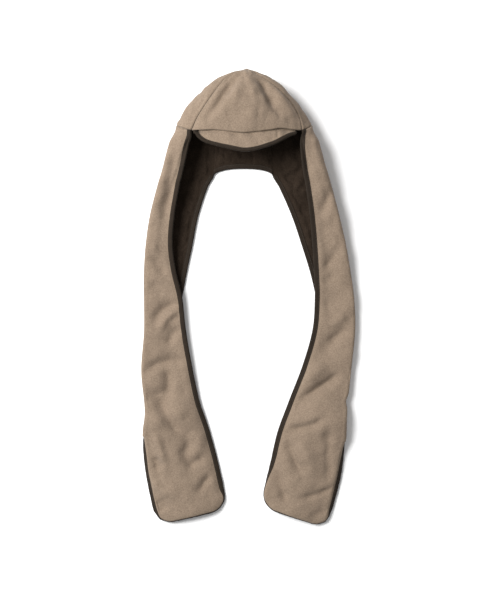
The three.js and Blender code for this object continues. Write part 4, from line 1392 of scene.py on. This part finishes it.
@dataclass
class BoundEdge:
    """An edge of cloth held in a folded tape, with a line of stitches.

    Attributes:
        name: the tape's piece name, which its stitches' name starts with.
        lines: lines of points on the cloth's right side, from the one that the flanges reach in
            to, out to the cloth's edge.
        outs: the ways out of the cloth there.
        stitch_faces: the faces that the stitches show on, 1 the right side and -1 the lining.
        proud: how far the tape's fold stands out past the cloth's edge.
        fold_flat: how far behind that the fold's round is centred, which makes it flatter.
        ripple: how uneven the tape's thickness is, as a share.
        ripple_length: a sixth of the way from one swelling to the next, about.
        ripple_drift: how far those wander, and over what length.
        fine_ripple: the share of the finer swellings, and their length.
        stitch_inset: how far out from the tape's inner edge the stitches lie.
        stitch_sink: where in the tape's thickness it lies, as a share.
        thread: half the thread's thickness.
    """

    name: str
    lines: Array
    outs: Array
    stitch_faces: tuple[int, ...] = (1,)
    tape: float = 0.8
    clearance: float = 0.12
    proud: float = 1.0
    fold_flat: float = 1.6
    fold_turn: float = 75.0
    fold_steps: int = 9
    inner_steps: int = 5
    ripple: float = 0.12
    ripple_length: float = 3.7
    ripple_drift: tuple[float, float] = (1.9, 31.0)
    fine_ripple: tuple[float, float] = (0.6, 1.9)
    stitch_inset: float = 1.9
    stitch_pitch: float = 3.1
    stitch_length: float = 2.2
    stitch_sink: float = 0.66
    thread: float = 0.3
    thread_sides: int = 6

    # Across the tape from its inner edge: share of the flange, and height over the cloth as a
    # share of the tape's own lift. It dips at the stitches.
    profile = (
        (0.0, 0.25), (0.05, 0.85), (0.12, 0.92), (0.2, 0.62), (0.3, 0.95), (0.42, 1.1),
        (0.54, 1.15), (0.66, 1.2), (0.78, 1.2), (0.9, 1.15), (0.97, 1.1),
    )
    # Along a stitch: the place as a share of its length, how far it bows out of the tape, and
    # its thickness as a share of the thread's
    stitch = (
        (-0.5, -0.25, 0.55), (-0.3, 0.05, 0.95), (0, 0.16, 1), (0.3, 0.05, 0.95), (0.5, -0.25, 0.55),
    )

    @property
    def thick(self) -> float:
        """How far the tape's outer side stands off the cloth."""
        return self.clearance + self.tape

    @cached_property
    def runs(self) -> Array:
        """The way along the edge at each stop."""
        return unit(np.gradient(self.lines[-1], axis=0))

    @cached_property
    def outwards(self) -> Array:
        """The way from the cloth out past its edge, square to the run."""
        way = self.lines[-1] - self.lines[-2]
        return unit(way - (way * self.runs).sum(-1, keepdims=True) * self.runs)

    @cached_property
    def distance(self) -> Array:
        """How far along the edge each stop lies."""
        steps = np.linalg.norm(np.diff(self.lines[-1], axis=0), axis=-1)
        return np.concatenate([[0.0], np.cumsum(steps)])

    @cached_property
    def swell(self) -> Array:
        """The slight unevenness of the tape's thickness along its run."""
        s, (wander, over), (share, length) = self.distance, self.ripple_drift, self.fine_ripple
        coarse = np.sin(s / self.ripple_length + wander * np.sin(s / over))
        return 1 + self.ripple * (coarse + share * np.sin(s / length))

    def line_at(self, share: float) -> tuple[Array, Array]:
        """The points and ways out at a share of the flange's width from its inner edge."""
        place = share * (len(self.lines) - 1)
        first = min(int(place), len(self.lines) - 2)
        base = mix(self.lines[first], self.lines[first + 1], place - first)
        return base, unit(mix(self.outs[first], self.outs[first + 1], place - first))

    def flange(self, face: int) -> list[Array]:
        """The tape's outer points over one face, 1 for the right side, from its inner edge."""
        rows = []
        lift = self.thick * self.swell
        for share, height in self.profile:
            base, out = self.line_at(share)
            level = lift * height if face > 0 else -STACK - lift * height
            rows.append(base + out * level[:, None])
        return rows

    def fold(self) -> list[Array]:
        """The tape's outer points round the cloth's edge, from the right side to the lining."""
        out = self.outs[-1]
        middle = self.lines[-1] - out * (STACK / 2)
        half = STACK / 2 + self.thick * self.profile[-1][1] * self.swell
        rows = []
        for turn in np.radians(np.linspace(self.fold_turn, -self.fold_turn, self.fold_steps)):
            reach = (self.proud + self.fold_flat) * math.cos(turn) - self.fold_flat
            rows.append(middle + out * (half * math.sin(turn))[:, None] + self.outwards * reach)
        return rows

    def tape_object(self) -> Piece:
        """Builds the folded tape as a closed channel, with its length on the map."""
        loop = [*self.flange(1), *self.fold(), *self.flange(-1)[::-1]]
        inner = [self.line_at(share) for share in np.linspace(0, 1, self.inner_steps)]
        loop += [base - out * (STACK + self.clearance) for base, out in inner]
        loop += [base + out * self.clearance for base, out in inner[::-1]]
        rings = np.stack(loop, axis=1)
        parts = MeshParts()
        parts.add_tube(rings, self.is_turned(rings))
        made = parts.object(self.name)
        self.lay_map(made, len(loop))
        return made

    def is_turned(self, rings: Array) -> bool:
        """Whether the rings' faces have to be reversed to face out."""
        across = rings[0, 1] - rings[0, 0]
        return float(np.dot(np.cross(across, self.runs[0]), self.outs[0, 0])) < 0

    def lay_map(self, made: Piece, around: int) -> None:
        """Gives the tape a map: its length along U and its width along V, in metres."""
        layer = made.data.uv_layers.new(name="tape")
        vertex = np.zeros(len(made.data.loops), np.int32)
        made.data.loops.foreach_get("vertex_index", vertex)
        place = np.stack([self.distance[vertex // around] * MM, (vertex % around) * MM], axis=-1)
        layer.data.foreach_set("uv", place.astype(np.float32).ravel())

    def stitch_object(self) -> Piece:
        """Builds the stitches that hold the tape, each one a short length of thread."""
        parts = MeshParts()
        last = self.distance[-1] - self.stitch_pitch
        sunk = self.thick * self.stitch_sink
        base, out = self.line_at(self.stitch_inset / TAPE_WIDTH)
        for face in self.stitch_faces:
            line = base + out * (sunk if face > 0 else -STACK - sunk)
            for start in np.arange(self.stitch_pitch, last, self.stitch_pitch):
                parts.add_tube(self.stitch_rings(line, out * face, start))
        return parts.object(f"{self.name}_stitches")

    def stitch_rings(self, line: Array, out: Array, start: float) -> Array:
        """One stitch: a thread that bows out of the tape between its two holes.

        Args:
            line: the line of the stitches, stop by stop.
            out: the ways out of the tape there.
            start: how far along the edge the stitch's middle lies.

        Returns:
            The thread's rings of points.
        """
        shares, bow, girth = np.array(self.stitch).T
        places = start + self.stitch_length * shares
        at = np.stack([np.interp(places, self.distance, line[:, i]) for i in range(3)], -1)
        up = unit(np.array([np.interp(start, self.distance, out[:, i]) for i in range(3)]))
        aside = np.cross(unit(at[-1] - at[0]), up)
        angles = np.linspace(0, 2 * math.pi, self.thread_sides, endpoint=False)
        spokes = np.cos(angles)[:, None] * aside + np.sin(angles)[:, None] * up
        radii = self.thread * girth
        return np.stack([p + up * rise + spokes * r for p, rise, r in zip(at, bow, radii)])

    def build(self, node: str) -> None:
        """Builds and dresses the tape, which replaces the node, and its stitches."""
        dress(self.tape_object(), BINDING_TAPE, (node,))
        dress(self.stitch_object(), BINDING_THREAD)


@dataclass
class Crown:
    """The crown: five gores of fleece over a lining, with a rolled front hem.

    Attributes:
        form: its plain shape.
        gores: each gore's name with the rim angles that it spans.
        tip_levels: the extra rings between the last one and the tip.
        hem_tuck: how far up behind the hem is tucked.
        hem_end: how close to the roll that tuck ends.
        hem_start: the level where the front hem begins to roll under.
        lining_start: the level where the lining begins behind it.
        lining_ease: over how many degrees its edge steps down beside the front gore.
        lining_swell: how much of the outer cloth's swells the lining has.
        tip_slack: share by which the lining keeps back from the tip, towards the hollow.
        seam_room: the width at which a gore is wide enough for its seams' full relief.
        tip_reach: how far from the tip its gathers reach.
        tip_knot: how near to the tip the relief ends.
        pleat_crest: how far from the tip they are highest.
        pleat_start: how far from the tip they are full.
        rest_height: below this height the cloth has no relief, because it rests on the floor.
        rest_fade: how far above that the relief is full.
    """

    form: CrownForm
    gores: dict[str, tuple[float, float]]
    level_steps: int = 96
    degree_step: float = 0.9
    least_steps: int = 8
    tip_levels: tuple[float, ...] = (0.25, 0.5, 0.75, 0.92, 0.995)
    hem_roll: float = 2.5
    hem_tuck: float = 12.0
    hem_end: float = 2.0
    hem_tuck_rows: int = 5
    hem_roll_rows: int = 12
    hem_start: float = 0.11
    lining_start: float = 0.62
    lining_top: float = 0.9
    lining_ease: float = 6.0
    lining_swell: float = 0.5
    lining_slack: float = 1.2
    hollow: Point = (-5.0, 395.0, 48.0)
    tip_slack: float = 0.3
    seam: SeamRelief = SeamRelief(1.1, 1.8, 0.9, 7.0, 0.2, 11.0, 2.4, 10.0)
    rim_seam: SeamRelief = RIM_SEAM
    seam_room: float = 30.0
    swells: Swells = (SoftWaves(55, 0.8, 11), SoftWaves(21, 0.28, 12))
    swell_margin: float = 10.0
    tip_reach: float = 26.0
    tip_knot: float = 4.0
    tip_pleats: int = 7
    tip_pleat_height: float = 0.5
    pleat_crest: float = 7.0
    pleat_start: float = 8.0
    rest_height: float = 2.0
    rest_fade: float = 8.0

    cuts = {
        "front": ClothCut(250, 160, 24000),
        "left": ClothCut(100, 165, 10500),
        "right": ClothCut(95, 160, 9000),
        "back_left": ClothCut(125, 140, 9000),
        "back_right": ClothCut(120, 140, 8400),
        "lining": ClothCut(560, 150, 49000),
    }

    def levels(self, start: float) -> Array:
        """The rings' levels for the mesh, with more of them at the tip."""
        top = self.form.top_level
        body = start + (top - start) * np.linspace(0, 1, self.level_steps)
        return np.concatenate([body, top + np.array(self.tip_levels)])

    def patch(self, span: tuple[float, float], start: float) -> Patch:
        """The plain patch over a span of angles, from a start level up to the tip."""
        steps = max(int(abs(span[1] - span[0]) / self.degree_step), self.least_steps)
        degrees = np.linspace(*span, steps + 1)
        return Patch(self.form.points(self.levels(start)[:, None], degrees[None, :]), flip=True)

    def tip_pleating(self, points: Array, from_tip: Array) -> Array:
        """The height of the pleats round the gathered tip."""
        x, _, z = self.form.tip
        angle = np.arctan2(points[..., 2] - z, points[..., 0] - x)
        near = np.exp(-((from_tip - self.pleat_crest) / self.tip_reach) ** 2)
        near = near * ease(from_tip / self.pleat_start)
        return self.tip_pleat_height * near * np.cos(self.tip_pleats * angle)

    def relieve(self, patch: Patch, rim: bool) -> None:
        """Adds the seams' relief, the soft swells and the pleats of the tip.

        Args:
            patch: the gore's patch to change.
            rim: whether its first row is sewn.
        """
        across, down = patch.run_across(), patch.run_down()
        width = across[:, -1:]
        room = ease(width / self.seam_room)
        height = swell_all(self.swells, patch.points)
        height = height * ease(np.minimum(across, width - across) / self.swell_margin)
        for away in (across, width - across):
            height = height + self.seam.lift(away, down) * room
        if rim:
            height = height + self.rim_seam.lift(down, across)
        from_tip = np.linalg.norm(patch.points - np.array(self.form.tip), axis=-1)
        height = height * ease((from_tip - self.tip_knot) / self.tip_reach)
        height = height + self.tip_pleating(patch.points, from_tip)
        patch.lift(height * ease((patch.points[..., 2] - self.rest_height) / self.rest_fade))

    def roll_hem(self, patch: Patch) -> Patch:
        """Adds the rows of a hem that rolls under and is tucked up behind.

        Args:
            patch: the gore, whose first row is where the roll begins.

        Returns:
            The gore with its hem.
        """
        start, out = patch.points[0], patch.outward[0]
        way = patch.points[0] - patch.points[1]
        way = unit(way - (way * out).sum(-1, keepdims=True) * out)
        radius = self.hem_roll
        rows, outs = [], []
        for climb in np.linspace(self.hem_tuck, self.hem_end, self.hem_tuck_rows):
            rows.append(start - out * (2 * radius) - way * climb)
            outs.append(-out)
        for turn in np.linspace(180, 0, self.hem_roll_rows + 1)[:-1]:
            c, s = math.cos(math.radians(turn)), math.sin(math.radians(turn))
            rows.append(start + way * (radius * s) - out * (radius * (1 - c)))
            outs.append(out * c + way * s)
        rolled = Patch(np.concatenate([np.stack(rows), patch.points]), flip=patch.flip)
        rolled.outward[: len(outs)] = np.stack(outs)
        return rolled

    def hem_line(self, share: Array) -> tuple[Array, Array, Array]:
        """The front hem, from its left end to its right one.

        Args:
            share: places along it, from 0 to 1.

        Returns:
            The points, the way out of the cloth, and the way up it.
        """
        right, left = self.form.seams
        degrees = mix(left, right, share)
        hem = self.form.points(np.zeros_like(degrees), degrees)
        above = self.form.points(np.ones_like(degrees), degrees)
        up = unit(above - hem)
        out = unit(np.cross(up, np.gradient(hem, axis=0)))
        return hem, out * np.sign(out[..., 2:3]), up

    def lining_patch(self) -> Patch:
        """The outer cloth's right side over the lining, which stops short of the front hem."""
        form = self.form
        right, left = form.seams
        back = form.back_angle
        degrees = np.linspace(back - 360, back, int(360 / self.degree_step) + 1)
        inside = np.minimum(degrees - right, left - degrees) / self.lining_ease + 0.5
        start = self.lining_start * ease(np.clip(inside, 0, 1))
        share = np.linspace(0, 1, self.level_steps // 2)[:, None]
        levels = mix(start[None, :], form.top_level + self.lining_top, share)
        grid = form.points(levels, degrees[None, :])
        from_tip = np.linalg.norm(grid - np.array(form.tip), axis=-1, keepdims=True)
        near = np.exp(-((from_tip / self.tip_reach) ** 2))
        grid = grid + (np.array(self.hollow) - grid) * self.tip_slack * near
        patch = Patch(grid, flip=True)
        across = patch.run_across()
        height = swell_all(self.swells, patch.points) * self.lining_swell - self.lining_slack
        for seam in {angle for span in self.gores.values() for angle in span}:
            away = np.abs(across - across[:, [int(np.argmin(np.abs(degrees - seam)))]])
            height = height - self.seam.valley * np.exp(-((away / self.seam.valley_width) ** 2))
        patch.lift(height)
        return patch

    def build(self) -> None:
        """Builds and dresses the gores and their lining."""
        for gore, span in self.gores.items():
            front = gore == "front"
            patch = self.patch(span, self.hem_start if front else 0.0)
            self.relieve(patch, rim=not front)
            if front:
                patch = self.roll_hem(patch)
            node = f"crown_{gore}_gore"
            OUTER_PLY.sew(f"{node}_cloth", patch, self.cuts[gore], (node,))
        patch = self.lining_patch()
        LINING_PLY.sew("crown_lining_cloth", patch, self.cuts["lining"], ("crown_lining",))


@dataclass
class ScarfEnd:
    """One scarf end: fleece and lining with both bound edges.

    Attributes:
        form: its plain shape.
        seam_end: how far down the seam with the nape goes.
        tip_steps: how many rows there are between the body and the tip's fine ones.
        tip_fine: from here to the end the rows are an edge step apart.
        fold_crowding: how much closer these come round a tight outer fold.
        bound_slant: how the gathers beside the tapes slant across the strip.
        bound_start: how far from the rim that relief is full.
        upright: cloth whose way out rises less than this has none of them.
        level_fade: how much more it rises where they are full.
        floor_margin: how far from an edge the cloth under the strip begins to lift off the floor.
        floor_fade: over how far it does so.
    """

    form: StripForm
    seam_end: float = 82.0
    row_step: float = 2.7
    edge_step: float = 1.5
    tip_steps: int = 9
    tip_fine: float = 16.5
    inner_columns: int = 84
    fold_crowding: float = 24.0
    rim_seam: SeamRelief = RIM_SEAM
    bound_seam: SeamRelief = SeamRelief(0.7, 5.0, 0.8, 15.0, 0.35, 10.0)
    bound_slant: float = 0.7
    bound_start: float = 12.0
    swells: Swells = (SoftWaves(70, 1.0, 21), SoftWaves(26, 0.4, 22), SoftWaves(12, 0.1, 23))
    swell_margin: float = 26.0
    upright: float = 0.3
    level_fade: float = 0.5
    floor_margin: float = 3.0
    floor_fade: float = 12.0

    panel_cut = ClothCut(175, 760, 128000, "folded")
    lining_cut = ClothCut(172, 755, 124000, "folded")

    @property
    def edge_columns(self) -> int:
        """The mesh's steps across a tape."""
        return round(TAPE_WIDTH / self.edge_step)

    @cached_property
    def rows(self) -> Array:
        """How far down each row of the mesh lies."""
        tip = self.form.corner_radius
        body = np.arange(0, self.form.length - tip, self.row_step)
        body[int(np.argmin(np.abs(body - self.seam_end)))] = self.seam_end
        fine = np.arange(self.tip_fine, -self.edge_step / 2, -self.edge_step)
        coarse = np.linspace(tip, self.tip_fine + self.edge_step, self.tip_steps)
        return np.concatenate([body, self.form.length - coarse, self.form.length - fine])

    @cached_property
    def seam_row(self) -> int:
        """The row where the seam with the nape ends."""
        return int(np.argmin(np.abs(self.rows - self.seam_end)))

    def shares(self, at: Array) -> Array:
        """The columns' shares of the width at each row, closer together round the outer fold."""
        s = self.form.station(at)
        width, bend = s["width"], s["bend"]
        low, high = TAPE_WIDTH, width - TAPE_WIDTH
        fold_from = np.clip(s["top_run"], low, high)
        fold_to = np.clip(s["top_run"] + s["fold_run"], fold_from, high)
        folded = (fold_to - fold_from) * np.maximum(1.0, self.fold_crowding / bend)
        steps = np.stack([np.zeros_like(width), fold_from - low, folded, high - fold_to], axis=-1)
        marks = np.cumsum(steps, axis=-1)
        places = np.stack([np.full_like(width, low), fold_from, fold_to, high], axis=-1)
        across = np.linspace(0, 1, self.inner_columns + 1)
        inner = np.stack([np.interp(across * mark[-1], mark, row) for mark, row in zip(marks, places)])
        edge = np.linspace(0, TAPE_WIDTH, self.edge_columns + 1)[:-1]
        first = np.broadcast_to(edge, (len(at), len(edge)))
        return np.concatenate([first, inner, width[:, None] - first[:, ::-1]], axis=1) / width[:, None]

    @cached_property
    def layout(self) -> tuple[Array, Array, Array]:
        """Each point's distance along its row and down the strip, and from the cut edge."""
        width = self.form.station(self.rows)["width"][:, None]
        along = self.shares(self.rows) * width
        down = np.broadcast_to(self.rows[:, None], along.shape)
        edge = np.minimum(np.minimum(along, width - along), self.form.length - down)
        return along, down, edge

    @cached_property
    def patch(self) -> Patch:
        """The strip's right side with all its relief."""
        at = self.rows
        patch = Patch(self.form.points(at[:, None], self.shares(at)), flip=self.form.side is Side.RIGHT)
        along, down, edge = self.layout
        height = swell_all(self.swells, patch.points) * ease(edge / self.swell_margin)
        level = np.abs(patch.outward[..., 2])
        height = height * ease((level - self.upright) / self.level_fade)
        inner = np.maximum(edge - TAPE_WIDTH, 0)
        beside_tape = self.bound_seam.lift(inner, down + self.bound_slant * along)
        height = height + beside_tape * ease(down / self.bound_start)
        height = height + self.rim_seam.lift(down, along)
        on_floor = patch.outward[..., 2] < -self.upright
        raised = -np.abs(height) * ease((edge - self.floor_margin) / self.floor_fade)
        patch.lift(np.where(on_floor, raised, height))
        return patch

    def edge_line(self, grid: Array, column: int, front: bool) -> Array:
        """The stops of a line that runs beside one bound edge.

        Args:
            grid: what to read: the patch's points or its ways out.
            column: the line's step in from the edge.
            front: the front edge, from the rim to the middle of the end; else from there to the
                end of the nape's seam.

        Returns:
            The values at the stops.
        """
        at, radius, length = self.rows, self.form.corner_radius, self.form.length
        width = float(self.form.station(at[-1:])["width"][0])
        shrink = 1 - self.edge_step * column / radius

        def squeeze(away: Array) -> Array:
            """The stop beside each one of the cut edge, where a corner fans out."""
            return np.where(away < radius, radius - (radius - away) * shrink, away)

        along = self.shares(at[-1:])[0] * width
        beside = squeeze(np.minimum(along, width - along))
        beside = np.where(along < width / 2, beside, width - beside)
        side = grid[:, column if front else -1 - column]
        end = grid[len(at) - 1 - column]
        places = length - squeeze(length - at)
        down = np.stack([np.interp(places, at, side[:, i]) for i in range(3)], -1)
        across = np.stack([np.interp(beside, along, end[:, i]) for i in range(3)], -1)
        middle = int(np.argmin(np.abs(along - width / 2)))
        if front:
            return np.concatenate([down, across[1 : middle + 1]])
        return np.concatenate([across[middle:-1], down[self.seam_row :][::-1]])

    def bound_edge(self, word: str, front: bool) -> BoundEdge:
        """The tape along one edge, by its word and whether it is the front one."""
        columns = range(self.edge_columns, -1, -1)
        lines = np.stack([self.edge_line(self.patch.points, column, front) for column in columns])
        outs = np.stack([self.edge_line(self.patch.outward, column, front) for column in columns])
        name = f"{self.form.side.label}_{word}_binding_tape"
        return BoundEdge(name, lines, unit(outs), (1,) if front else (1, -1))

    def build(self) -> None:
        """Builds and dresses the strip."""
        label, patch = self.form.side.label, self.patch
        panel, lining = f"{label}_scarf_panel", f"{label}_scarf_lining"
        OUTER_PLY.sew(f"{panel}_cloth", patch, self.panel_cut, (f"{label}_cheek_panel", panel))
        slack = LINING_SLACK.at(patch.points, self.layout[2])
        LINING_PLY.sew(f"{lining}_cloth", patch, self.lining_cut, (lining,), slack)
        for word, front in (("front", True), ("back", False)):
            self.bound_edge(word, front).build(f"{label}_{word}_binding")


@dataclass
class Nape:
    """The nape piece: fleece and lining between the two back seams, bound along its arch.

    Attributes:
        crown: the crown's plain shape.
        left: the left scarf end.
        right: the right one.
        arch_rise: how high the arch of its free edge is.
        arch_power: how flat the arch is along its middle.
        arch_round: how steeply it leaves its two corners.
        seam_end: how far from the free edge that is full.
        lining_clear: how far from the tape the lining's slack may begin at the sides.
    """

    crown: CrownForm
    left: ScarfEnd
    right: ScarfEnd
    arch_rise: float = 13.2
    arch_power: float = 2.5
    arch_round: float = 0.62
    columns: int = 72
    seam: SeamRelief = SeamRelief(0.0, 2.0, 0.9, 9.0, 0.3, 12.0)
    seam_end: float = 12.0
    swells: Swells = (SoftWaves(38, 0.9, 31), SoftWaves(17, 0.3, 32))
    swell_margin: float = 18.0
    lining_clear: float = 20.0

    cut = ClothCut(150, 90, 11200)

    @cached_property
    def patch(self) -> Patch:
        """The nape's right side, which faces the floor."""
        rows = self.left.rows[: self.left.seam_row + 1]
        share = np.linspace(0, 1, self.columns + 1)
        sides = [end.patch.points[: len(rows), -1] for end in (self.left, self.right)]
        foot = mix(sides[0][-1], sides[1][-1], share[:, None])
        foot[:, 1] += self.arch_rise * (1 - np.abs(2 * share - 1) ** self.arch_power) ** self.arch_round
        degrees = mix(*self.left.form.nape_angles, share)
        rim = self.crown.points(np.zeros_like(degrees), degrees)
        grid = mix(rim[None], foot[None], (rows / rows[-1])[:, None, None])
        grid[:, 0], grid[:, -1] = sides
        up = unit(rim - foot)
        for step in range(TAPE_ROWS, 0, -1):
            under_tape = foot + up * (TAPE_WIDTH * step / TAPE_ROWS)
            grid[-1 - step, 1:-1] = under_tape[1:-1]
        patch = Patch(grid)
        away, to_foot = patch.to_side(), patch.to_foot()
        edge = np.minimum(away, to_foot)
        height = np.abs(swell_all(self.swells, patch.points)) * ease(edge / self.swell_margin)
        height = height + self.seam.lift(away, patch.run_down()) * ease(to_foot / self.seam_end)
        patch.lift(-height)
        return patch

    def build(self) -> None:
        """Builds and dresses the nape piece."""
        patch = self.patch
        OUTER_PLY.sew("nape_panel_cloth", patch, self.cut, ("nape_panel",))
        to_foot = patch.to_foot()
        beside_tape = TAPE_WIDTH * ease(to_foot / self.lining_clear - 0.5)
        slack = LINING_SLACK.at(patch.points, np.minimum(patch.to_side(), to_foot) + beside_tape)
        LINING_PLY.sew("nape_lining_cloth", patch, self.cut, ("nape_lining",), slack)
        lines, outs = patch.points[-1 - TAPE_ROWS :], patch.outward[-1 - TAPE_ROWS :]
        BoundEdge("nape_binding_tape", lines, outs, (1, -1)).build("nape_binding")


@dataclass
class Peak:
    """The short soft peak, from behind the front hem to its bound free edge.

    Attributes:
        crown: the crown that it hangs from.
        margin: share of the front hem left free at each corner.
        tuck: how far up behind the hem it is sewn.
        clear: how far below the hem's line it leaves the hem.
        under: how far under the hem's right side it lies.
        corner_under: how much further at its corners.
        corner_power: how near to a corner that begins.
        least_reach: the share of its depth that the tape leaves at the least.
        fold_margin: how far from the free edge they are full.
        left_end: how the tape's left end runs on past the cloth, up behind the hem.
        right_end: the same at its right end.
    """

    crown: Crown
    edge: Rows = PEAK_EDGE
    margin: float = 0.08
    tuck: float = 6.0
    clear: float = 3.0
    under: float = 5.6
    corner_under: float = 0.5
    corner_power: float = 8.0
    dome: float = 2.5
    tape_width: float = 7.0
    least_reach: float = 0.3
    columns: int = 150
    rows: int = 26
    swells: Swells = (SoftWaves(34, 0.5, 41), SoftWaves(15, 0.2, 42))
    swell_margin: float = 9.0
    folds: Folds = (
        Fold(((57.5, 323), (57.5, 309)), 3.2, 1.6, fade=0.1),
        Fold(((-67.7, 320), (-67, 308)), 5, 0.9),
        Fold(((-44.5, 306), (-42, 297)), 6, 0.9),
    )
    fold_margin: float = 8.0
    left_end: tuple[Point, ...] = ((-1, 3, -3), (-1, 6, -7), (-1, 8, -12))
    right_end: tuple[Point, ...] = ((1, 3, -3), (1, 6, -7), (1, 8, -12))

    cut = ClothCut(215, 50, 7900)

    @cached_property
    def patch(self) -> Patch:
        """The peak's right side."""
        share = np.linspace(0, 1, self.columns + 1)
        hem, out, up = self.crown.hem_line(mix(self.margin, 1 - self.margin, share))
        corner = np.abs(2 * share - 1) ** self.corner_power
        sunk = hem - out * (self.under + self.corner_under * corner)[:, None]
        root, leave = sunk + up * self.tuck, sunk - up * self.clear
        place = share * (len(self.edge.rows) - 1)
        edge = np.stack([self.edge.read(key, place) for key in ("x", "y", "z")], axis=-1)
        depth = np.linalg.norm(edge - leave, axis=-1)
        reach = np.maximum(depth - self.tape_width, depth * self.least_reach)
        distances = [reach * part for part in np.linspace(0, 1, self.rows + 1)[1:]]
        distances += [mix(reach, depth, step / TAPE_ROWS) for step in range(1, TAPE_ROWS + 1)]
        rows = [mix(root, leave, part) for part in (0.0, 0.5, 1.0)]
        for distance in distances:
            row = mix(leave, edge, (distance / depth)[:, None])
            row[:, 2] += self.dome * np.minimum(distance, self.tape_width) / self.tape_width
            rows.append(row)
        patch = Patch(np.stack(rows), flip=True)
        to_foot = patch.to_foot()
        from_edge = np.minimum(patch.run_down(), to_foot)
        height = swell_all(self.swells, patch.points) * ease(from_edge / self.swell_margin)
        pressed = press_all(self.folds, patch.points[..., 0], patch.points[..., 1])
        patch.lift(height - pressed * ease(to_foot / self.fold_margin))
        return patch

    def bound_edge(self) -> BoundEdge:
        """The tape along the free edge, whose ends run on up behind the hem."""
        lines, outs = self.patch.points[-1 - TAPE_ROWS :], self.patch.outward[-1 - TAPE_ROWS :]
        first = np.stack([lines[:, 0] + np.array(step) for step in self.left_end[::-1]], axis=1)
        last = np.stack([lines[:, -1] + np.array(step) for step in self.right_end], axis=1)
        before = np.repeat(outs[:, :1], len(self.left_end), axis=1)
        after = np.repeat(outs[:, -1:], len(self.right_end), axis=1)
        lines = np.concatenate([first, lines, last], axis=1)
        return BoundEdge("peak_binding_tape", lines, np.concatenate([before, outs, after], axis=1))

    def build(self) -> None:
        """Builds and dresses the peak."""
        OUTER_PLY.sew("peak_top_cloth", self.patch, self.cut, ("peak_top",))
        LINING_PLY.sew("peak_underside_cloth", self.patch, self.cut, ("peak_underside",))
        self.bound_edge().build("peak_binding")


@dataclass(frozen=True)
class Studio:
    """The pale floor, the soft light and the camera.

    Attributes:
        camera_at: the camera's place, in metres; it looks straight down.
        frame_height: what the picture's long side covers on the floor, in metres.
        floor_gap: how far below the cloth the floor lies, in metres.
    """

    camera_at: Point = (0.0035, -0.0009, 2.6)
    frame_height: float = 1.2
    sensor: float = 36.0
    floor_size: float = 12.0
    floor_gap: float = 0.0002
    key_at: Point = (-1.65, 0.78, 2.1)
    key_size: float = 1.7
    key_power: float = 137.0
    sky: float = 0.44

    def place(self, name: str, data: bpy.types.ID, at: Point) -> Piece:
        """Adds an object to the scene at a place, in metres."""
        made = bpy.data.objects.new(name, data)
        made.location = at
        bpy.context.scene.collection.objects.link(made)
        return made

    def lay_floor(self) -> None:
        """Lays the floor just under the cloth."""
        half = self.floor_size / 2
        mesh = bpy.data.meshes.new("floor")
        corners = [(-half, -half, 0), (half, -half, 0), (half, half, 0), (-half, half, 0)]
        mesh.from_pydata(corners, [], [(0, 1, 2, 3)])
        mesh.materials.append(FloorFinish().material())
        self.place("floor", mesh, (0, 0, -self.floor_gap))

    def light(self) -> None:
        """Sets the soft key light and the bright surround."""
        lamp = bpy.data.lights.new("key", "AREA")
        lamp.shape = "DISK"
        lamp.size = self.key_size
        lamp.energy = self.key_power
        key = self.place("key", lamp, self.key_at)
        key.rotation_euler = (-Vector(self.key_at)).to_track_quat("-Z", "Y").to_euler()
        world = bpy.data.worlds.new("studio")
        world.use_nodes = True
        surround = world.node_tree.nodes["Background"]
        surround.inputs["Color"].default_value = (1.0, 1.0, 1.0, 1.0)
        surround.inputs["Strength"].default_value = self.sky
        bpy.context.scene.world = world

    def stand_camera(self) -> None:
        """Stands the camera straight over the scarf, as the photograph has it."""
        lens = bpy.data.cameras.new("camera")
        lens.sensor_width = self.sensor
        lens.lens = self.sensor * self.camera_at[2] / self.frame_height
        bpy.context.scene.camera = self.place("camera", lens, self.camera_at)

    def build(self) -> None:
        """Builds the floor, the lights and the camera."""
        self.lay_floor()
        self.light()
        self.stand_camera()
        bpy.context.scene.view_settings.view_transform = "Standard"


def main() -> None:
    """Builds every part in order."""
    logging.basicConfig(level=logging.INFO, format="%(name)s %(message)s")
    form = CrownForm()
    ends = {side: ScarfEnd(StripForm(side, form)) for side in Side}
    right, left = form.seams
    side_left, side_right = (float(end.form.rim_angle(SIDE_SEAM_SHARE)) for end in ends.values())
    gores = {
        "front": (right, left),
        "left": (left, side_left),
        "back_left": (side_left, form.back_angle),
        "right": (side_right, right),
        "back_right": (form.back_angle - 360, side_right),
    }
    crown = Crown(form, gores)
    crown.build()
    for end in ends.values():
        end.build()
    Nape(form, *ends.values()).build()
    Peak(crown).build()
    Studio().build()


if __name__ == "__main__":
    main()
